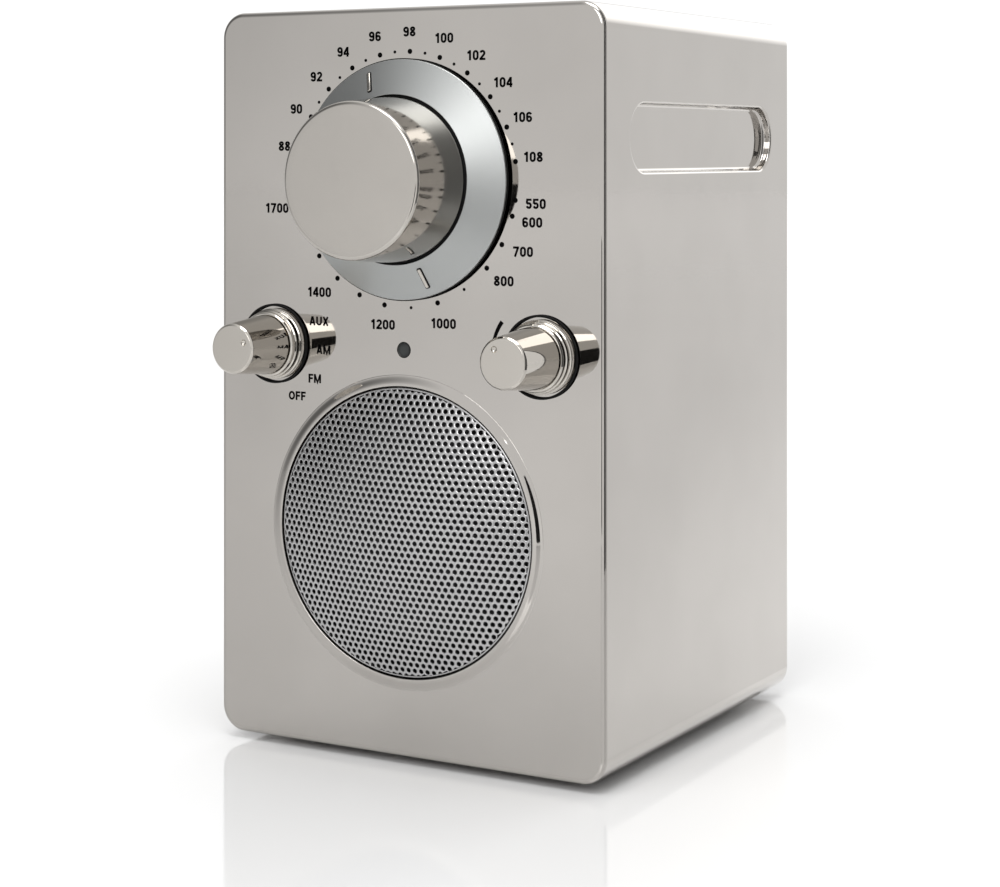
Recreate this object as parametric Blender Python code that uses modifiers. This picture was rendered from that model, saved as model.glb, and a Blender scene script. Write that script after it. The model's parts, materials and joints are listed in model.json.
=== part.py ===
"""Portable radio with a plated cabinet, a geared tuning dial, two small knobs and a round speaker.

Metres, +Z up. The front faces -Y. The origin is the centre of the base pad's underside.
Front pieces are drawn looking at the front: x right, y up, z out of the panel.
"""
import math

import bmesh
import bpy
from mathutils import Matrix

# Cabinet
WIDTH = 0.0937
DEPTH = 0.0986
HEIGHT = 0.1572
CORNER_RADIUS = 0.0055
FRONT_EDGE = 0.0010
REAR_EDGE = 0.0020
WALL = 0.0030
PANEL = 0.0030
GAP = 0.0003
GRIP_LENGTH = 0.0750
GRIP_HEIGHT = 0.0156
GRIP_DEPTH = 0.0022
GRIP_EDGE = 0.0015
GRIP_DROP = 0.0275
PILLAR_RADIUS = 0.0040
PILLAR_SINK = 0.0006
PAD_THICK = 0.0013
PAD_INSET = 0.0130
PAD_CORNER = 0.0060

# Rear cover, screws and battery door
COVER_THICK = 0.0025
COVER_RECESS = 0.0010
SCREW_RADIUS = 0.0014
SCREW_LENGTH = 0.0120
SCREW_HEAD_RADIUS = 0.0023
SCREW_HEAD = 0.0014
SCREW_HEAD_EDGE = 0.0006
DOOR_WIDTH = 0.0540
DOOR_HEIGHT = 0.0600
DOOR_THICK = 0.0012
DOOR_LEDGE = 0.0025
DOOR_SCREW_LEDGE = 0.0085
DOOR_BOTTOM = 0.0060
DOOR_CORNER = 0.0030
DOOR_SCREW_LENGTH = 0.0030
TAB_WIDTH = 0.0160
TAB_THICK = 0.0012

# Tuning dial, knob and gears
DIAL_RADIUS = 0.0252
DIAL_TOP_RADIUS = 0.0177
DIAL_RIM = 0.0006
DIAL_HEIGHT = 0.0038
DIAL_LIFT = 0.0008
POINTER_ANGLE = 18.0
POINTER_LENGTH = 0.0044
POINTER_WIDTH = 0.0010
POINTER_HEIGHT = 0.0008
POINTER_RADIUS = 0.0214
KNOB_RADIUS = 0.0173
KNOB_END_RADIUS = 0.0161
KNOB_HEIGHT = 0.0164
KNOB_CHAMFER = 0.0009
KNOB_WALL = 0.0022
KNOB_BOSS_RADIUS = 0.0055
TUNER_SHAFT_RADIUS = 0.0030
SUN_SEAT_RADIUS = 0.0024
HUB_WALL = 0.0021
BUSH_WALL = 0.0020
BUSH_FLANGE = 0.0025
BUSH_FLANGE_THICK = 0.0015
CARRIER_THICK = 0.0020
CARRIER_EDGE = 0.0030
PLANET_PIN_RADIUS = 0.0015
GEAR_MODULE = 0.0008
SUN_TEETH = 12
PLANET_TEETH = 18
PLANET_COUNT = 3
GEAR_WIDTH = 0.0040
PRESSURE_ANGLE = math.radians(28.0)
ADDENDUM = 0.80
DEDENDUM = 1.05
BACKLASH = 0.00016
RING_WALL = 0.0036
RING_EAR_RADIUS = 0.0030
STAKE_RADIUS = 0.0014
ROTOR_DISC_THICK = 0.0015
SPINDLE_RADIUS = 0.0030
SPINDLE_LENGTH = 0.0090
CAPACITOR_SIZE = 0.0220
CAPACITOR_CORNER = 0.0015
CAPACITOR_DEPTH = 0.0140
CAPACITOR_STANDOFF = 0.0030

# Selector and volume controls
CONTROL_EDGE = 0.01435
GASKET_RADIUS = 0.0086
GASKET_WIDTH = 0.0007
GASKET_THICK = 0.0009
COLLAR_STEP = 0.00032
COLLAR_HEIGHT = 0.0037
SMALL_KNOB_RADIUS = 0.0063
SMALL_KNOB_END_RADIUS = 0.0052
SMALL_KNOB_HEIGHT = 0.0120
SMALL_KNOB_CHAMFER = 0.0004
DIMPLE_RADIUS = 0.0007
DIMPLE_DEPTH = 0.0005
DIMPLE_FLOOR = 0.0004
DIMPLE_OFFSET = 0.0033
SELECTOR_ANGLE = 25.0
VOLUME_ANGLE = 125.6
SMALL_SHAFT_RADIUS = 0.0026
SMALL_SHAFT_GRIP = 0.0085
SMALL_SHAFT_DEPTH = 0.0045
SMALL_BUSH_WALL = 0.0010
SWITCH_RADIUS = 0.0075
SWITCH_DEPTH = 0.0100
POT_RADIUS = 0.0072
POT_DEPTH = 0.0080
LAMP_RADIUS = 0.00145
LAMP_PROUD = 0.0004
LAMP_SHOULDER = 0.0004
LAMP_FLANGE = 0.0010

# Speaker
APERTURE_RADIUS = 0.0306
BEZEL_WIDTH = 0.0016
BEZEL_RISE = 0.0006
GRILLE_THICK = 0.0008
GRILLE_STEP = 0.0005
GRILLE_DOME = 0.0045
GRILLE_FLANGE = 0.0030
GRILLE_PITCH = 0.0053
GRILLE_HOLE = 0.0019
GASKET_SEAL = 0.0015
SURROUND_THICK = 0.0005
SURROUND_WIDTH = 0.0044
SURROUND_ROLL = 0.0016
FRAME_WIDTH = 0.0760
FRAME_EDGE = 0.0004
FRAME_CORNER = 0.0260
FRAME_THICK = 0.0014
FRAME_DEPTH = 0.0150
WINDOW_SIZE = 0.0135
WINDOW_REACH = 0.0227
FRAME_SCREW_CIRCLE = 0.0372
FRAME_SCREW_ANGLE = 20.0
FRAME_BOSS_RADIUS = 0.0030
FRAME_SCREW_LENGTH = 0.0050
CONE_THICK = 0.0007
CONE_DEPTH = 0.0100
CAP_HEIGHT = 0.0030
CAP_SHOULDER = 0.0024
COIL_RADIUS = 0.0060
COIL_WALL = 0.0004
COIL_LENGTH = 0.0120
SPIDER_RADIUS = 0.0140
SPIDER_WAVE = 0.0008
MAGNET_RADIUS = 0.0175
MAGNET_THICK = 0.0080
PLATE_THICK = 0.0030

# Board, battery, aerial rod and jacks
BOARD_MARGIN = 0.00785
BOARD_HEIGHT = 0.0540
BOARD_THICK = 0.0016
BOARD_POST_EDGE = 0.0035
BOARD_POST_Z = 0.0195
BOARD_POST_RADIUS = 0.0024
BOARD_PIN_RADIUS = 0.0012
BATTERY_WIDTH = 0.0440
BATTERY_DEPTH = 0.0295
BATTERY_HEIGHT = 0.0510
BATTERY_CORNER = 0.0070
ROD_RADIUS = 0.0045
ROD_LENGTH = 0.0640
ROD_RISE = 0.0160
COIL_TURNS_LENGTH = 0.0180
COIL_TURNS_THICK = 0.0011
JACK_EDGE = 0.01385
JACK_RISE = 0.0020
JACK_SPACING = 0.0150
JACK_RADIUS = 0.0036
JACK_BODY_RADIUS = 0.0052
JACK_BODY_DEPTH = 0.0110
PHONE_BORE = 0.0018
POWER_BORE = 0.0028
POWER_PIN = 0.0010

# Telescopic antenna, stowed across the back
ANTENNA_EDGE = 0.01585
ANTENNA_DROP = 0.0152
ANTENNA_BUSH_RADIUS = 0.0060
ANTENNA_BUSH_THICK = 0.0015
ANTENNA_STUD_RADIUS = 0.0022
ANTENNA_STUD_HEAD = 0.0012
FORK_WIDTH = 0.0100
FORK_DEPTH = 0.0085
FORK_SLOT = 0.0044
FORK_FLOOR = 0.0016
ANTENNA_PIN_RADIUS = 0.0012
ANTENNA_SPARE = 0.0437
ANTENNA_RADIUS = 0.0033
ANTENNA_STEP = 0.0008
ANTENNA_SECTIONS = 3
ANTENNA_PEEP = 0.0022
ANTENNA_NECK = 0.0110
ANTENNA_CAP_RADIUS = 0.0030
ANTENNA_CAP_LENGTH = 0.0050
ANTENNA_CAP_EDGE = 0.0009

# Facets
SPEAKER_SHARE = 0.428
LAMP_SHARE = 0.081
TUNER_SHARE = 0.234
FINE = 32
MEDIUM = 20
COARSE = 12
SMALL = 8

PAD_TOP = PAD_THICK + GAP
Y_FRONT = -DEPTH / 2
Y_REAR = DEPTH / 2
COVER_FACE = Y_REAR - COVER_RECESS
COVER_BACK = COVER_FACE - COVER_THICK
INNER_X = WIDTH / 2 - WALL
INNER_LOW = PAD_TOP + WALL
INNER_HIGH = PAD_TOP + HEIGHT - WALL
PILLAR_X = INNER_X - PILLAR_RADIUS + PILLAR_SINK
PILLAR_LOW = INNER_LOW + PILLAR_RADIUS - PILLAR_SINK
PILLAR_HIGH = INNER_HIGH - PILLAR_RADIUS + PILLAR_SINK
BOARD_WIDTH = 2 * INNER_X - 2 * BOARD_MARGIN
BOARD_POST_X = BOARD_WIDTH / 2 - BOARD_POST_EDGE
CONTROL_X = WIDTH / 2 - CONTROL_EDGE
JACK_X = JACK_EDGE - WIDTH / 2
JACK_LOW = DOOR_BOTTOM + DOOR_HEIGHT + JACK_BODY_RADIUS + JACK_RISE
ANTENNA_X = WIDTH / 2 - ANTENNA_EDGE
ANTENNA_Z = HEIGHT - ANTENNA_DROP
ANTENNA_LENGTH = WIDTH - ANTENNA_SPARE
GRIP_Z = HEIGHT - GRIP_DROP

# The front's pieces stand above each other and share out the height that they leave over
RING_TEETH = SUN_TEETH + 2 * PLANET_TEETH
RING_PITCH = GEAR_MODULE * RING_TEETH / 2
RING_RADIUS = RING_PITCH + RING_WALL
STAKE_CIRCLE = RING_RADIUS + RING_EAR_RADIUS - 4 * GAP
GRILLE_RADIUS = APERTURE_RADIUS + GRILLE_FLANGE
LAMP_REACH = LAMP_RADIUS + LAMP_FLANGE + GAP
FRAME_HEIGHT = 2 * (GRILLE_RADIUS + FRAME_EDGE)
SPEAKER_NEED = WALL + FRAME_HEIGHT / 2 + GAP
LAMP_NEED = GRILLE_RADIUS + LAMP_REACH
TUNER_NEED = STAKE_CIRCLE + RING_EAR_RADIUS + LAMP_REACH
TOP_NEED = BOARD_HEIGHT / 2 + WALL + GAP
SPARE = HEIGHT - SPEAKER_NEED - LAMP_NEED - TUNER_NEED - TOP_NEED
SPEAKER_Z = SPEAKER_NEED + SPARE * SPEAKER_SHARE
CONTROL_Z = SPEAKER_Z + LAMP_NEED + SPARE * LAMP_SHARE
TUNER_Z = CONTROL_Z + TUNER_NEED + SPARE * TUNER_SHARE
TUNER = (0.0, PAD_TOP + TUNER_Z)
SPEAKER = (0.0, PAD_TOP + SPEAKER_Z)
LAMP = (0.0, PAD_TOP + CONTROL_Z)

for old in list(bpy.data.objects):
    bpy.data.objects.remove(old)
PARTS = bpy.data.collections.new("portable_radio")
CUTTERS = bpy.data.collections.new("cutters")
bpy.context.scene.collection.children.link(PARTS)
bpy.context.scene.collection.children.link(CUTTERS)

FRONT = (math.pi / 2, 0.0, 0.0)
REAR = (math.pi / 2, 0.0, math.pi)
UPRIGHT = (0.0, 0.0, 0.0)

CHROME = ((0.78, 0.77, 0.75), 0.06, 1.0)
SATIN = ((0.62, 0.64, 0.65), 0.32, 1.0)
STEEL = ((0.55, 0.55, 0.56), 0.30, 1.0)
BRASS = ((0.72, 0.56, 0.28), 0.30, 1.0)
COPPER = ((0.62, 0.30, 0.16), 0.35, 1.0)
RUBBER = ((0.02, 0.02, 0.02), 0.75, 0.0)
BLACK = ((0.03, 0.03, 0.03), 0.45, 0.0)
WHITE = ((0.80, 0.80, 0.76), 0.40, 0.0)
PAPER = ((0.04, 0.04, 0.045), 0.85, 0.0)
BOARD = ((0.05, 0.20, 0.09), 0.50, 0.0)
FERRITE = ((0.07, 0.07, 0.075), 0.55, 0.0)
SLEEVE = ((0.10, 0.14, 0.32), 0.35, 0.0)


def finish(piece, look):
    """Give a piece its own Principled material and smooth shading."""
    colour, roughness, metallic = look
    material = bpy.data.materials.new(piece.name)
    material.use_nodes = True
    shader = material.node_tree.nodes["Principled BSDF"]
    shader.inputs["Base Color"].default_value = (*colour, 1.0)
    shader.inputs["Roughness"].default_value = roughness
    shader.inputs["Metallic"].default_value = metallic
    piece.data.materials.append(material)
    if piece.data.polygons:
        piece.data.shade_smooth()
        piece.data.set_sharp_from_angle(angle=math.radians(35.0))


def new_object(name, mesh, spot, turn, look=None):
    """Link a mesh as a part, or as a hidden cutter when it has no look."""
    piece = bpy.data.objects.new(name, mesh)
    piece.location = spot
    piece.rotation_euler = turn
    if look is None:
        CUTTERS.objects.link(piece)
        piece.hide_render = True
        piece.display_type = "WIRE"
    else:
        PARTS.objects.link(piece)
        finish(piece, look)
    return piece


def at_front(place):
    """World spot on the front plane for a place given as x and z."""
    return (place[0], Y_FRONT, place[1])


def turned(name, profile, steps, spot, turn, look=None, ring=False):
    """Revolve an outline of (radius, height) points, which runs down its outer side."""
    mesh = bpy.data.meshes.new(name)
    count = len(profile)
    edges = [(i, i + 1) for i in range(count - 1)]
    if ring:
        edges.append((count - 1, 0))
    mesh.from_pydata([(radius, 0.0, height) for radius, height in profile], edges, [])
    piece = new_object(name, mesh, spot, turn, look)
    screw = piece.modifiers.new("turn", "SCREW")
    screw.axis = "Z"
    screw.steps = steps
    screw.render_steps = steps
    screw.use_merge_vertices = True
    screw.merge_threshold = 0.000001
    screw.use_smooth_shade = True
    return piece


def circle(radius, steps, x=0.0, y=0.0, start=0.0):
    """Points round a circle."""
    angles = [start + 2 * math.pi * k / steps for k in range(steps)]
    return [(x + radius * math.cos(a), y + radius * math.sin(a)) for a in angles]


def rounded_rectangle(width, height, radius, steps, x=0.0, y=0.0):
    """Points round a rectangle with arcs at its corners."""
    points = []
    for quarter, (sx, sy) in enumerate(((1, 1), (-1, 1), (-1, -1), (1, -1))):
        cx = x + sx * (width / 2 - radius)
        cy = y + sy * (height / 2 - radius)
        for k in range(steps + 1):
            a = (quarter + k / steps) * math.pi / 2
            points.append((cx + radius * math.cos(a), cy + radius * math.sin(a)))
    return points


def plate_mesh(name, loops, low, high, merge=True):
    """Fill flat outlines, inner ones as holes, and extrude them from low to high."""
    curve = bpy.data.curves.new(name, "CURVE")
    curve.dimensions = "2D"
    curve.fill_mode = "BOTH"
    curve.extrude = (high - low) / 2
    for loop in loops:
        spline = curve.splines.new("POLY")
        spline.points.add(len(loop) - 1)
        for point, (x, y) in zip(spline.points, loop):
            point.co = (x, y, 0.0, 1.0)
        spline.use_cyclic_u = True
    holder = bpy.data.objects.new(name, curve)
    bpy.context.scene.collection.objects.link(holder)
    graph = bpy.context.evaluated_depsgraph_get()
    mesh = bpy.data.meshes.new_from_object(holder.evaluated_get(graph))
    bpy.data.objects.remove(holder)
    work = bmesh.new()
    work.from_mesh(mesh)
    bmesh.ops.remove_doubles(work, verts=work.verts, dist=0.0000005)
    flat = [f for f in work.faces if max(v.co.z for v in f.verts) - min(v.co.z for v in f.verts) < 0.0000005]
    faces = set(flat)
    seams = [e for e in work.edges if all(f in faces for f in e.link_faces)]
    bmesh.ops.beautify_fill(work, faces=flat, edges=seams, method="ANGLE")
    if merge:
        seams = [e for e in work.edges if len(e.link_faces) == 2 and e.calc_face_angle(0.0) < 0.0001]
        bmesh.ops.dissolve_limit(work, angle_limit=0.0001, verts=[], edges=seams)
    bmesh.ops.translate(work, verts=work.verts, vec=(0.0, 0.0, (low + high) / 2))
    bmesh.ops.recalc_face_normals(work, faces=work.faces)
    work.to_mesh(mesh)
    work.free()
    return mesh


def plate(name, loops, low, high, spot, turn, look=None):
    """A flat piece cut from outlines."""
    return new_object(name, plate_mesh(name, loops, low, high), spot, turn, look)


def block(name, low, high, look=None, axis=1, corner=0.0, steps=4, ends=()):
    """A box between two corners; the edges along one axis and the ends' rims can be rounded."""
    mesh = bpy.data.meshes.new(name)
    work = bmesh.new()
    bmesh.ops.create_cube(work, size=1.0)
    for vert in work.verts:
        vert.co = [low[i] + (vert.co[i] + 0.5) * (high[i] - low[i]) for i in range(3)]
    if corner > 0:
        along = [e for e in work.edges
                 if abs(e.verts[0].co[axis] - e.verts[1].co[axis]) > (high[axis] - low[axis]) / 2]
        bmesh.ops.bevel(work, geom=along, offset=corner, segments=steps, profile=0.5, affect="EDGES")
    for side, radius, rim_steps in ends:
        level = high[axis] if side > 0 else low[axis]
        rim = [e for e in work.edges if all(abs(v.co[axis] - level) < 0.0000005 for v in e.verts)]
        bmesh.ops.bevel(work, geom=rim, offset=radius, segments=rim_steps, profile=0.5, affect="EDGES")
    work.to_mesh(mesh)
    work.free()
    return new_object(name, mesh, (0.0, 0.0, 0.0), UPRIGHT, look)


def boolean(piece, other, operation):
    """Cut or join another shape, which stays hidden."""
    modifier = piece.modifiers.new(other.name, "BOOLEAN")
    modifier.operation = operation
    modifier.object = other
    modifier.solver = "EXACT"


def merge_flats(piece):
    """Join the flat facets that cuts leave behind."""
    modifier = piece.modifiers.new("merge_flats", "DECIMATE")
    modifier.decimate_type = "DISSOLVE"
    modifier.angle_limit = math.radians(0.2)


def cut(piece, other):
    boolean(piece, other, "DIFFERENCE")


def join(piece, other):
    boolean(piece, other, "UNION")


def rod(name, radius, low, high, spot, turn, look=None, steps=SMALL):
    """A plain round bar along the piece's own z."""
    return turned(name, [(0.0, high), (radius, high), (radius, low), (0.0, low)], steps, spot, turn, look)


def tube(name, outer, inner, low, high, steps, spot, turn, look=None):
    """A plain ring along the piece's own z."""
    profile = [(inner, high), (outer, high), (outer, low), (inner, low)]
    return turned(name, profile, steps, spot, turn, look, ring=True)


def arc(cx, cy, radius, start, end, steps):
    """Points along an arc, angles in degrees."""
    angles = [math.radians(start + (end - start) * k / steps) for k in range(steps + 1)]
    return [(cx + radius * math.cos(a), cy + radius * math.sin(a)) for a in angles]


# Heights out of the front plane, shared by the pieces that stack there
DIAL_BACK = DIAL_LIFT
DIAL_TOP = DIAL_BACK + DIAL_HEIGHT
HUB_BORE = TUNER_SHAFT_RADIUS + GAP
HUB_RADIUS = HUB_BORE + HUB_WALL
BUSH_BORE = HUB_RADIUS + GAP
BUSH_RADIUS = BUSH_BORE + BUSH_WALL
BUSH_END = -PANEL - GAP - BUSH_FLANGE_THICK
CARRIER_FRONT = BUSH_END - GAP
CARRIER_BACK = CARRIER_FRONT - CARRIER_THICK
HUB_END = CARRIER_BACK
GEAR_FRONT = CARRIER_BACK - 2 * GAP
GEAR_BACK = GEAR_FRONT - GEAR_WIDTH
ROTOR_FRONT = GEAR_BACK - 2 * GAP
ROTOR_BACK = ROTOR_FRONT - ROTOR_DISC_THICK
CAPACITOR_FRONT = ROTOR_BACK - CAPACITOR_STANDOFF
CAPACITOR_BACK = CAPACITOR_FRONT - CAPACITOR_DEPTH
BOARD_FRONT = CAPACITOR_BACK - GAP
BOARD_BACK = BOARD_FRONT - BOARD_THICK
SUN_PITCH = GEAR_MODULE * SUN_TEETH / 2
PLANET_PITCH = GEAR_MODULE * PLANET_TEETH / 2
CARRIER_ARM = SUN_PITCH + PLANET_PITCH
CARRIER_RADIUS = CARRIER_ARM + CARRIER_EDGE
EAR_THICK = CARRIER_THICK
PLANET_ANGLES = [math.pi / 2 + 2 * math.pi * k / PLANET_COUNT for k in range(PLANET_COUNT)]
STAKE_ANGLES = [a + math.pi / PLANET_COUNT for a in PLANET_ANGLES]

PAN_RADIUS = APERTURE_RADIUS - GAP
PAN_INNER = PAN_RADIUS - GRILLE_THICK
PAN_EDGE = BEZEL_RISE - GRILLE_STEP
GRILLE_FRONT = -PANEL - GAP
GRILLE_BACK = GRILLE_FRONT - GRILLE_THICK
SEAL_BACK = GRILLE_BACK - GAP - GASKET_SEAL
LIP_FRONT = SEAL_BACK - GAP
LIP_BACK = LIP_FRONT - SURROUND_THICK
FRAME_FRONT = LIP_BACK - GAP
FRAME_BACK = FRAME_FRONT - FRAME_THICK
ROLL_OUTER = APERTURE_RADIUS - GAP
ROLL_INNER = ROLL_OUTER - SURROUND_WIDTH
BASKET_FLOOR = FRAME_BACK - FRAME_DEPTH
PLATE_FRONT = BASKET_FLOOR - FRAME_THICK - GAP
PLATE_BACK = PLATE_FRONT - PLATE_THICK
MAGNET_BACK = PLATE_BACK - GAP - MAGNET_THICK
YOKE_FRONT = MAGNET_BACK - GAP
POLE_RADIUS = COIL_RADIUS - GAP
PLATE_BORE = COIL_RADIUS + COIL_WALL + GAP
FRAME_SCREW_X = FRAME_SCREW_CIRCLE * math.cos(math.radians(FRAME_SCREW_ANGLE))
FRAME_SCREW_Y = FRAME_SCREW_CIRCLE * math.sin(math.radians(FRAME_SCREW_ANGLE))
FRAME_CORNERS = [(sx * FRAME_SCREW_X, sy * FRAME_SCREW_Y) for sx in (-1, 1) for sy in (-1, 1)]

SMALL_BUSH_BORE = SMALL_SHAFT_RADIUS + GAP
SMALL_BUSH_RADIUS = SMALL_BUSH_BORE + SMALL_BUSH_WALL
SMALL_BUSH_HOLE = SMALL_BUSH_RADIUS + GAP
COLLAR_RADIUS = GASKET_RADIUS - GASKET_WIDTH - GAP
COLLAR_TOP = GAP + COLLAR_HEIGHT
SMALL_KNOB_BASE = COLLAR_TOP + GAP

DOOR_Z = PAD_TOP + DOOR_BOTTOM + DOOR_HEIGHT / 2
HATCH_HEIGHT = DOOR_HEIGHT - DOOR_LEDGE - DOOR_SCREW_LEDGE
HATCH_WIDTH = DOOR_WIDTH - 2 * DOOR_LEDGE
HATCH_Z = PAD_TOP + DOOR_BOTTOM + DOOR_LEDGE + HATCH_HEIGHT / 2
DOOR_SCREW_Z = PAD_TOP + DOOR_BOTTOM + DOOR_HEIGHT - DOOR_SCREW_LEDGE / 2
PILLARS = [(sx * PILLAR_X, z) for sx in (-1, 1) for z in (PILLAR_LOW, PILLAR_HIGH)]
BOARD_POSTS = [(sx * BOARD_POST_X, TUNER[1] + sz * BOARD_POST_Z) for sx in (-1, 1) for sz in (-1, 1)]
JACKS = [("dc_jack", 0), ("headphone_jack", 1), ("aux_jack", 2)]


def build_cabinet():
    """Front panel and four walls in one moulding, open at the back."""
    top = PAD_TOP + HEIGHT
    cabinet = block("cabinet", (-WIDTH / 2, Y_FRONT, PAD_TOP), (WIDTH / 2, Y_REAR, top), CHROME,
                    corner=CORNER_RADIUS, steps=5, ends=((-1, FRONT_EDGE, 2), (1, REAR_EDGE, 2)))
    hollow = block("cabinet_hollow", (-INNER_X, Y_FRONT + PANEL, INNER_LOW),
                   (INNER_X, Y_REAR + WALL, INNER_HIGH), corner=CORNER_RADIUS - WALL, steps=2)
    cut(cabinet, hollow)
    spot = at_front(SPEAKER)
    land = APERTURE_RADIUS + GAP
    sunk = BEZEL_RISE / 4
    foot = land + BEZEL_WIDTH * (1 + sunk / BEZEL_RISE)
    bezel = [(0.0, BEZEL_RISE), (land, BEZEL_RISE), (foot, -sunk), (0.0, -sunk)]
    join(cabinet, turned("speaker_bezel", bezel, FINE, spot, FRONT))
    cut(cabinet, rod("speaker_mouth", APERTURE_RADIUS, -2 * PANEL, PANEL, spot, FRONT, steps=FINE))
    cut(cabinet, rod("tuner_hole", BUSH_RADIUS + GAP, -2 * PANEL, PANEL, at_front(TUNER), FRONT,
                     steps=COARSE))
    for side in (-1, 1):
        place = at_front((side * CONTROL_X, PAD_TOP + CONTROL_Z))
        cut(cabinet, rod("control_hole", SMALL_BUSH_HOLE, -2 * PANEL, PANEL, place, FRONT, steps=COARSE))
    cut(cabinet, rod("lamp_hole", LAMP_RADIUS + GAP, -2 * PANEL, PANEL, at_front(LAMP), FRONT))
    grip_z = PAD_TOP + GRIP_Z
    half = GRIP_LENGTH / 2
    for side in (-1, 1):
        inside = sorted((side * (INNER_X - GRIP_DEPTH), side * (INNER_X + WALL / 2)))
        rise = GRIP_HEIGHT / 2
        backing = block("grip_backing", (inside[0], -half - WALL, grip_z - rise - WALL),
                        (inside[1], half + WALL, grip_z + rise + WALL),
                        axis=0, corner=rise, steps=3)
        join(cabinet, backing)
        scoop = sorted((side * (WIDTH / 2 - GRIP_DEPTH), side * (WIDTH / 2 + GRIP_DEPTH)))
        recess = block("grip_recess", (scoop[0], -half, grip_z - rise), (scoop[1], half, grip_z + rise),
                       axis=0, corner=rise - GAP, steps=5, ends=((-side, GRIP_EDGE, 2),))
        cut(cabinet, recess)
    seat = -(COVER_BACK - GAP - Y_FRONT)
    for x, z in PILLARS:
        join(cabinet, rod("cover_pillar", PILLAR_RADIUS, seat, -PANEL / 2, at_front((x, z)), FRONT))
        bore = seat + SCREW_LENGTH + WALL
        cut(cabinet, rod("pillar_bore", SCREW_RADIUS + GAP, seat - WALL, bore, at_front((x, z)), FRONT))
    for x, z in BOARD_POSTS:
        post = [(0.0, -PANEL / 2), (BOARD_POST_RADIUS, -PANEL / 2), (BOARD_POST_RADIUS, BOARD_FRONT + GAP),
                (BOARD_PIN_RADIUS, BOARD_FRONT + GAP), (BOARD_PIN_RADIUS, BOARD_BACK - GAP),
                (0.0, BOARD_BACK - GAP)]
        join(cabinet, turned("board_post", post, SMALL, at_front((x, z)), FRONT))
    for x, y in FRAME_CORNERS:
        place = at_front((SPEAKER[0] + x, SPEAKER[1] + y))
        join(cabinet, rod("speaker_boss", FRAME_BOSS_RADIUS, FRAME_FRONT + GAP, -PANEL / 2, place, FRONT))
        bore = FRAME_BACK + FRAME_SCREW_LENGTH + GAP
        cut(cabinet, rod("boss_bore", SCREW_RADIUS + GAP, FRAME_FRONT - WALL, bore, place, FRONT))
    for angle in STAKE_ANGLES:
        place = (TUNER[0] + STAKE_CIRCLE * math.cos(angle), TUNER[1] + STAKE_CIRCLE * math.sin(angle))
        low = -PANEL - 2 * GAP - EAR_THICK
        join(cabinet, rod("ring_stake", STAKE_RADIUS, low, -PANEL / 2, at_front(place), FRONT))
    merge_flats(cabinet)


def build_base_pad():
    """Rubber pad that the radio stands on."""
    outline = rounded_rectangle(WIDTH - 2 * PAD_INSET, DEPTH - 2 * PAD_INSET, PAD_CORNER, 4)
    plate("base_pad", [outline], 0.0, PAD_THICK, (0.0, 0.0, 0.0), UPRIGHT, RUBBER)


def screw(name, length, spot, turn):
    """A pan-head screw whose head lies under z = 0."""
    profile = [(0.0, 0.0), (SCREW_HEAD_RADIUS - SCREW_HEAD_EDGE, 0.0),
               (SCREW_HEAD_RADIUS, -SCREW_HEAD_EDGE),
               (SCREW_HEAD_RADIUS, -SCREW_HEAD), (SCREW_RADIUS, -SCREW_HEAD),
               (SCREW_RADIUS, -SCREW_HEAD - length), (0.0, -SCREW_HEAD - length)]
    turned(name, profile, SMALL, spot, turn, STEEL)


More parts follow.
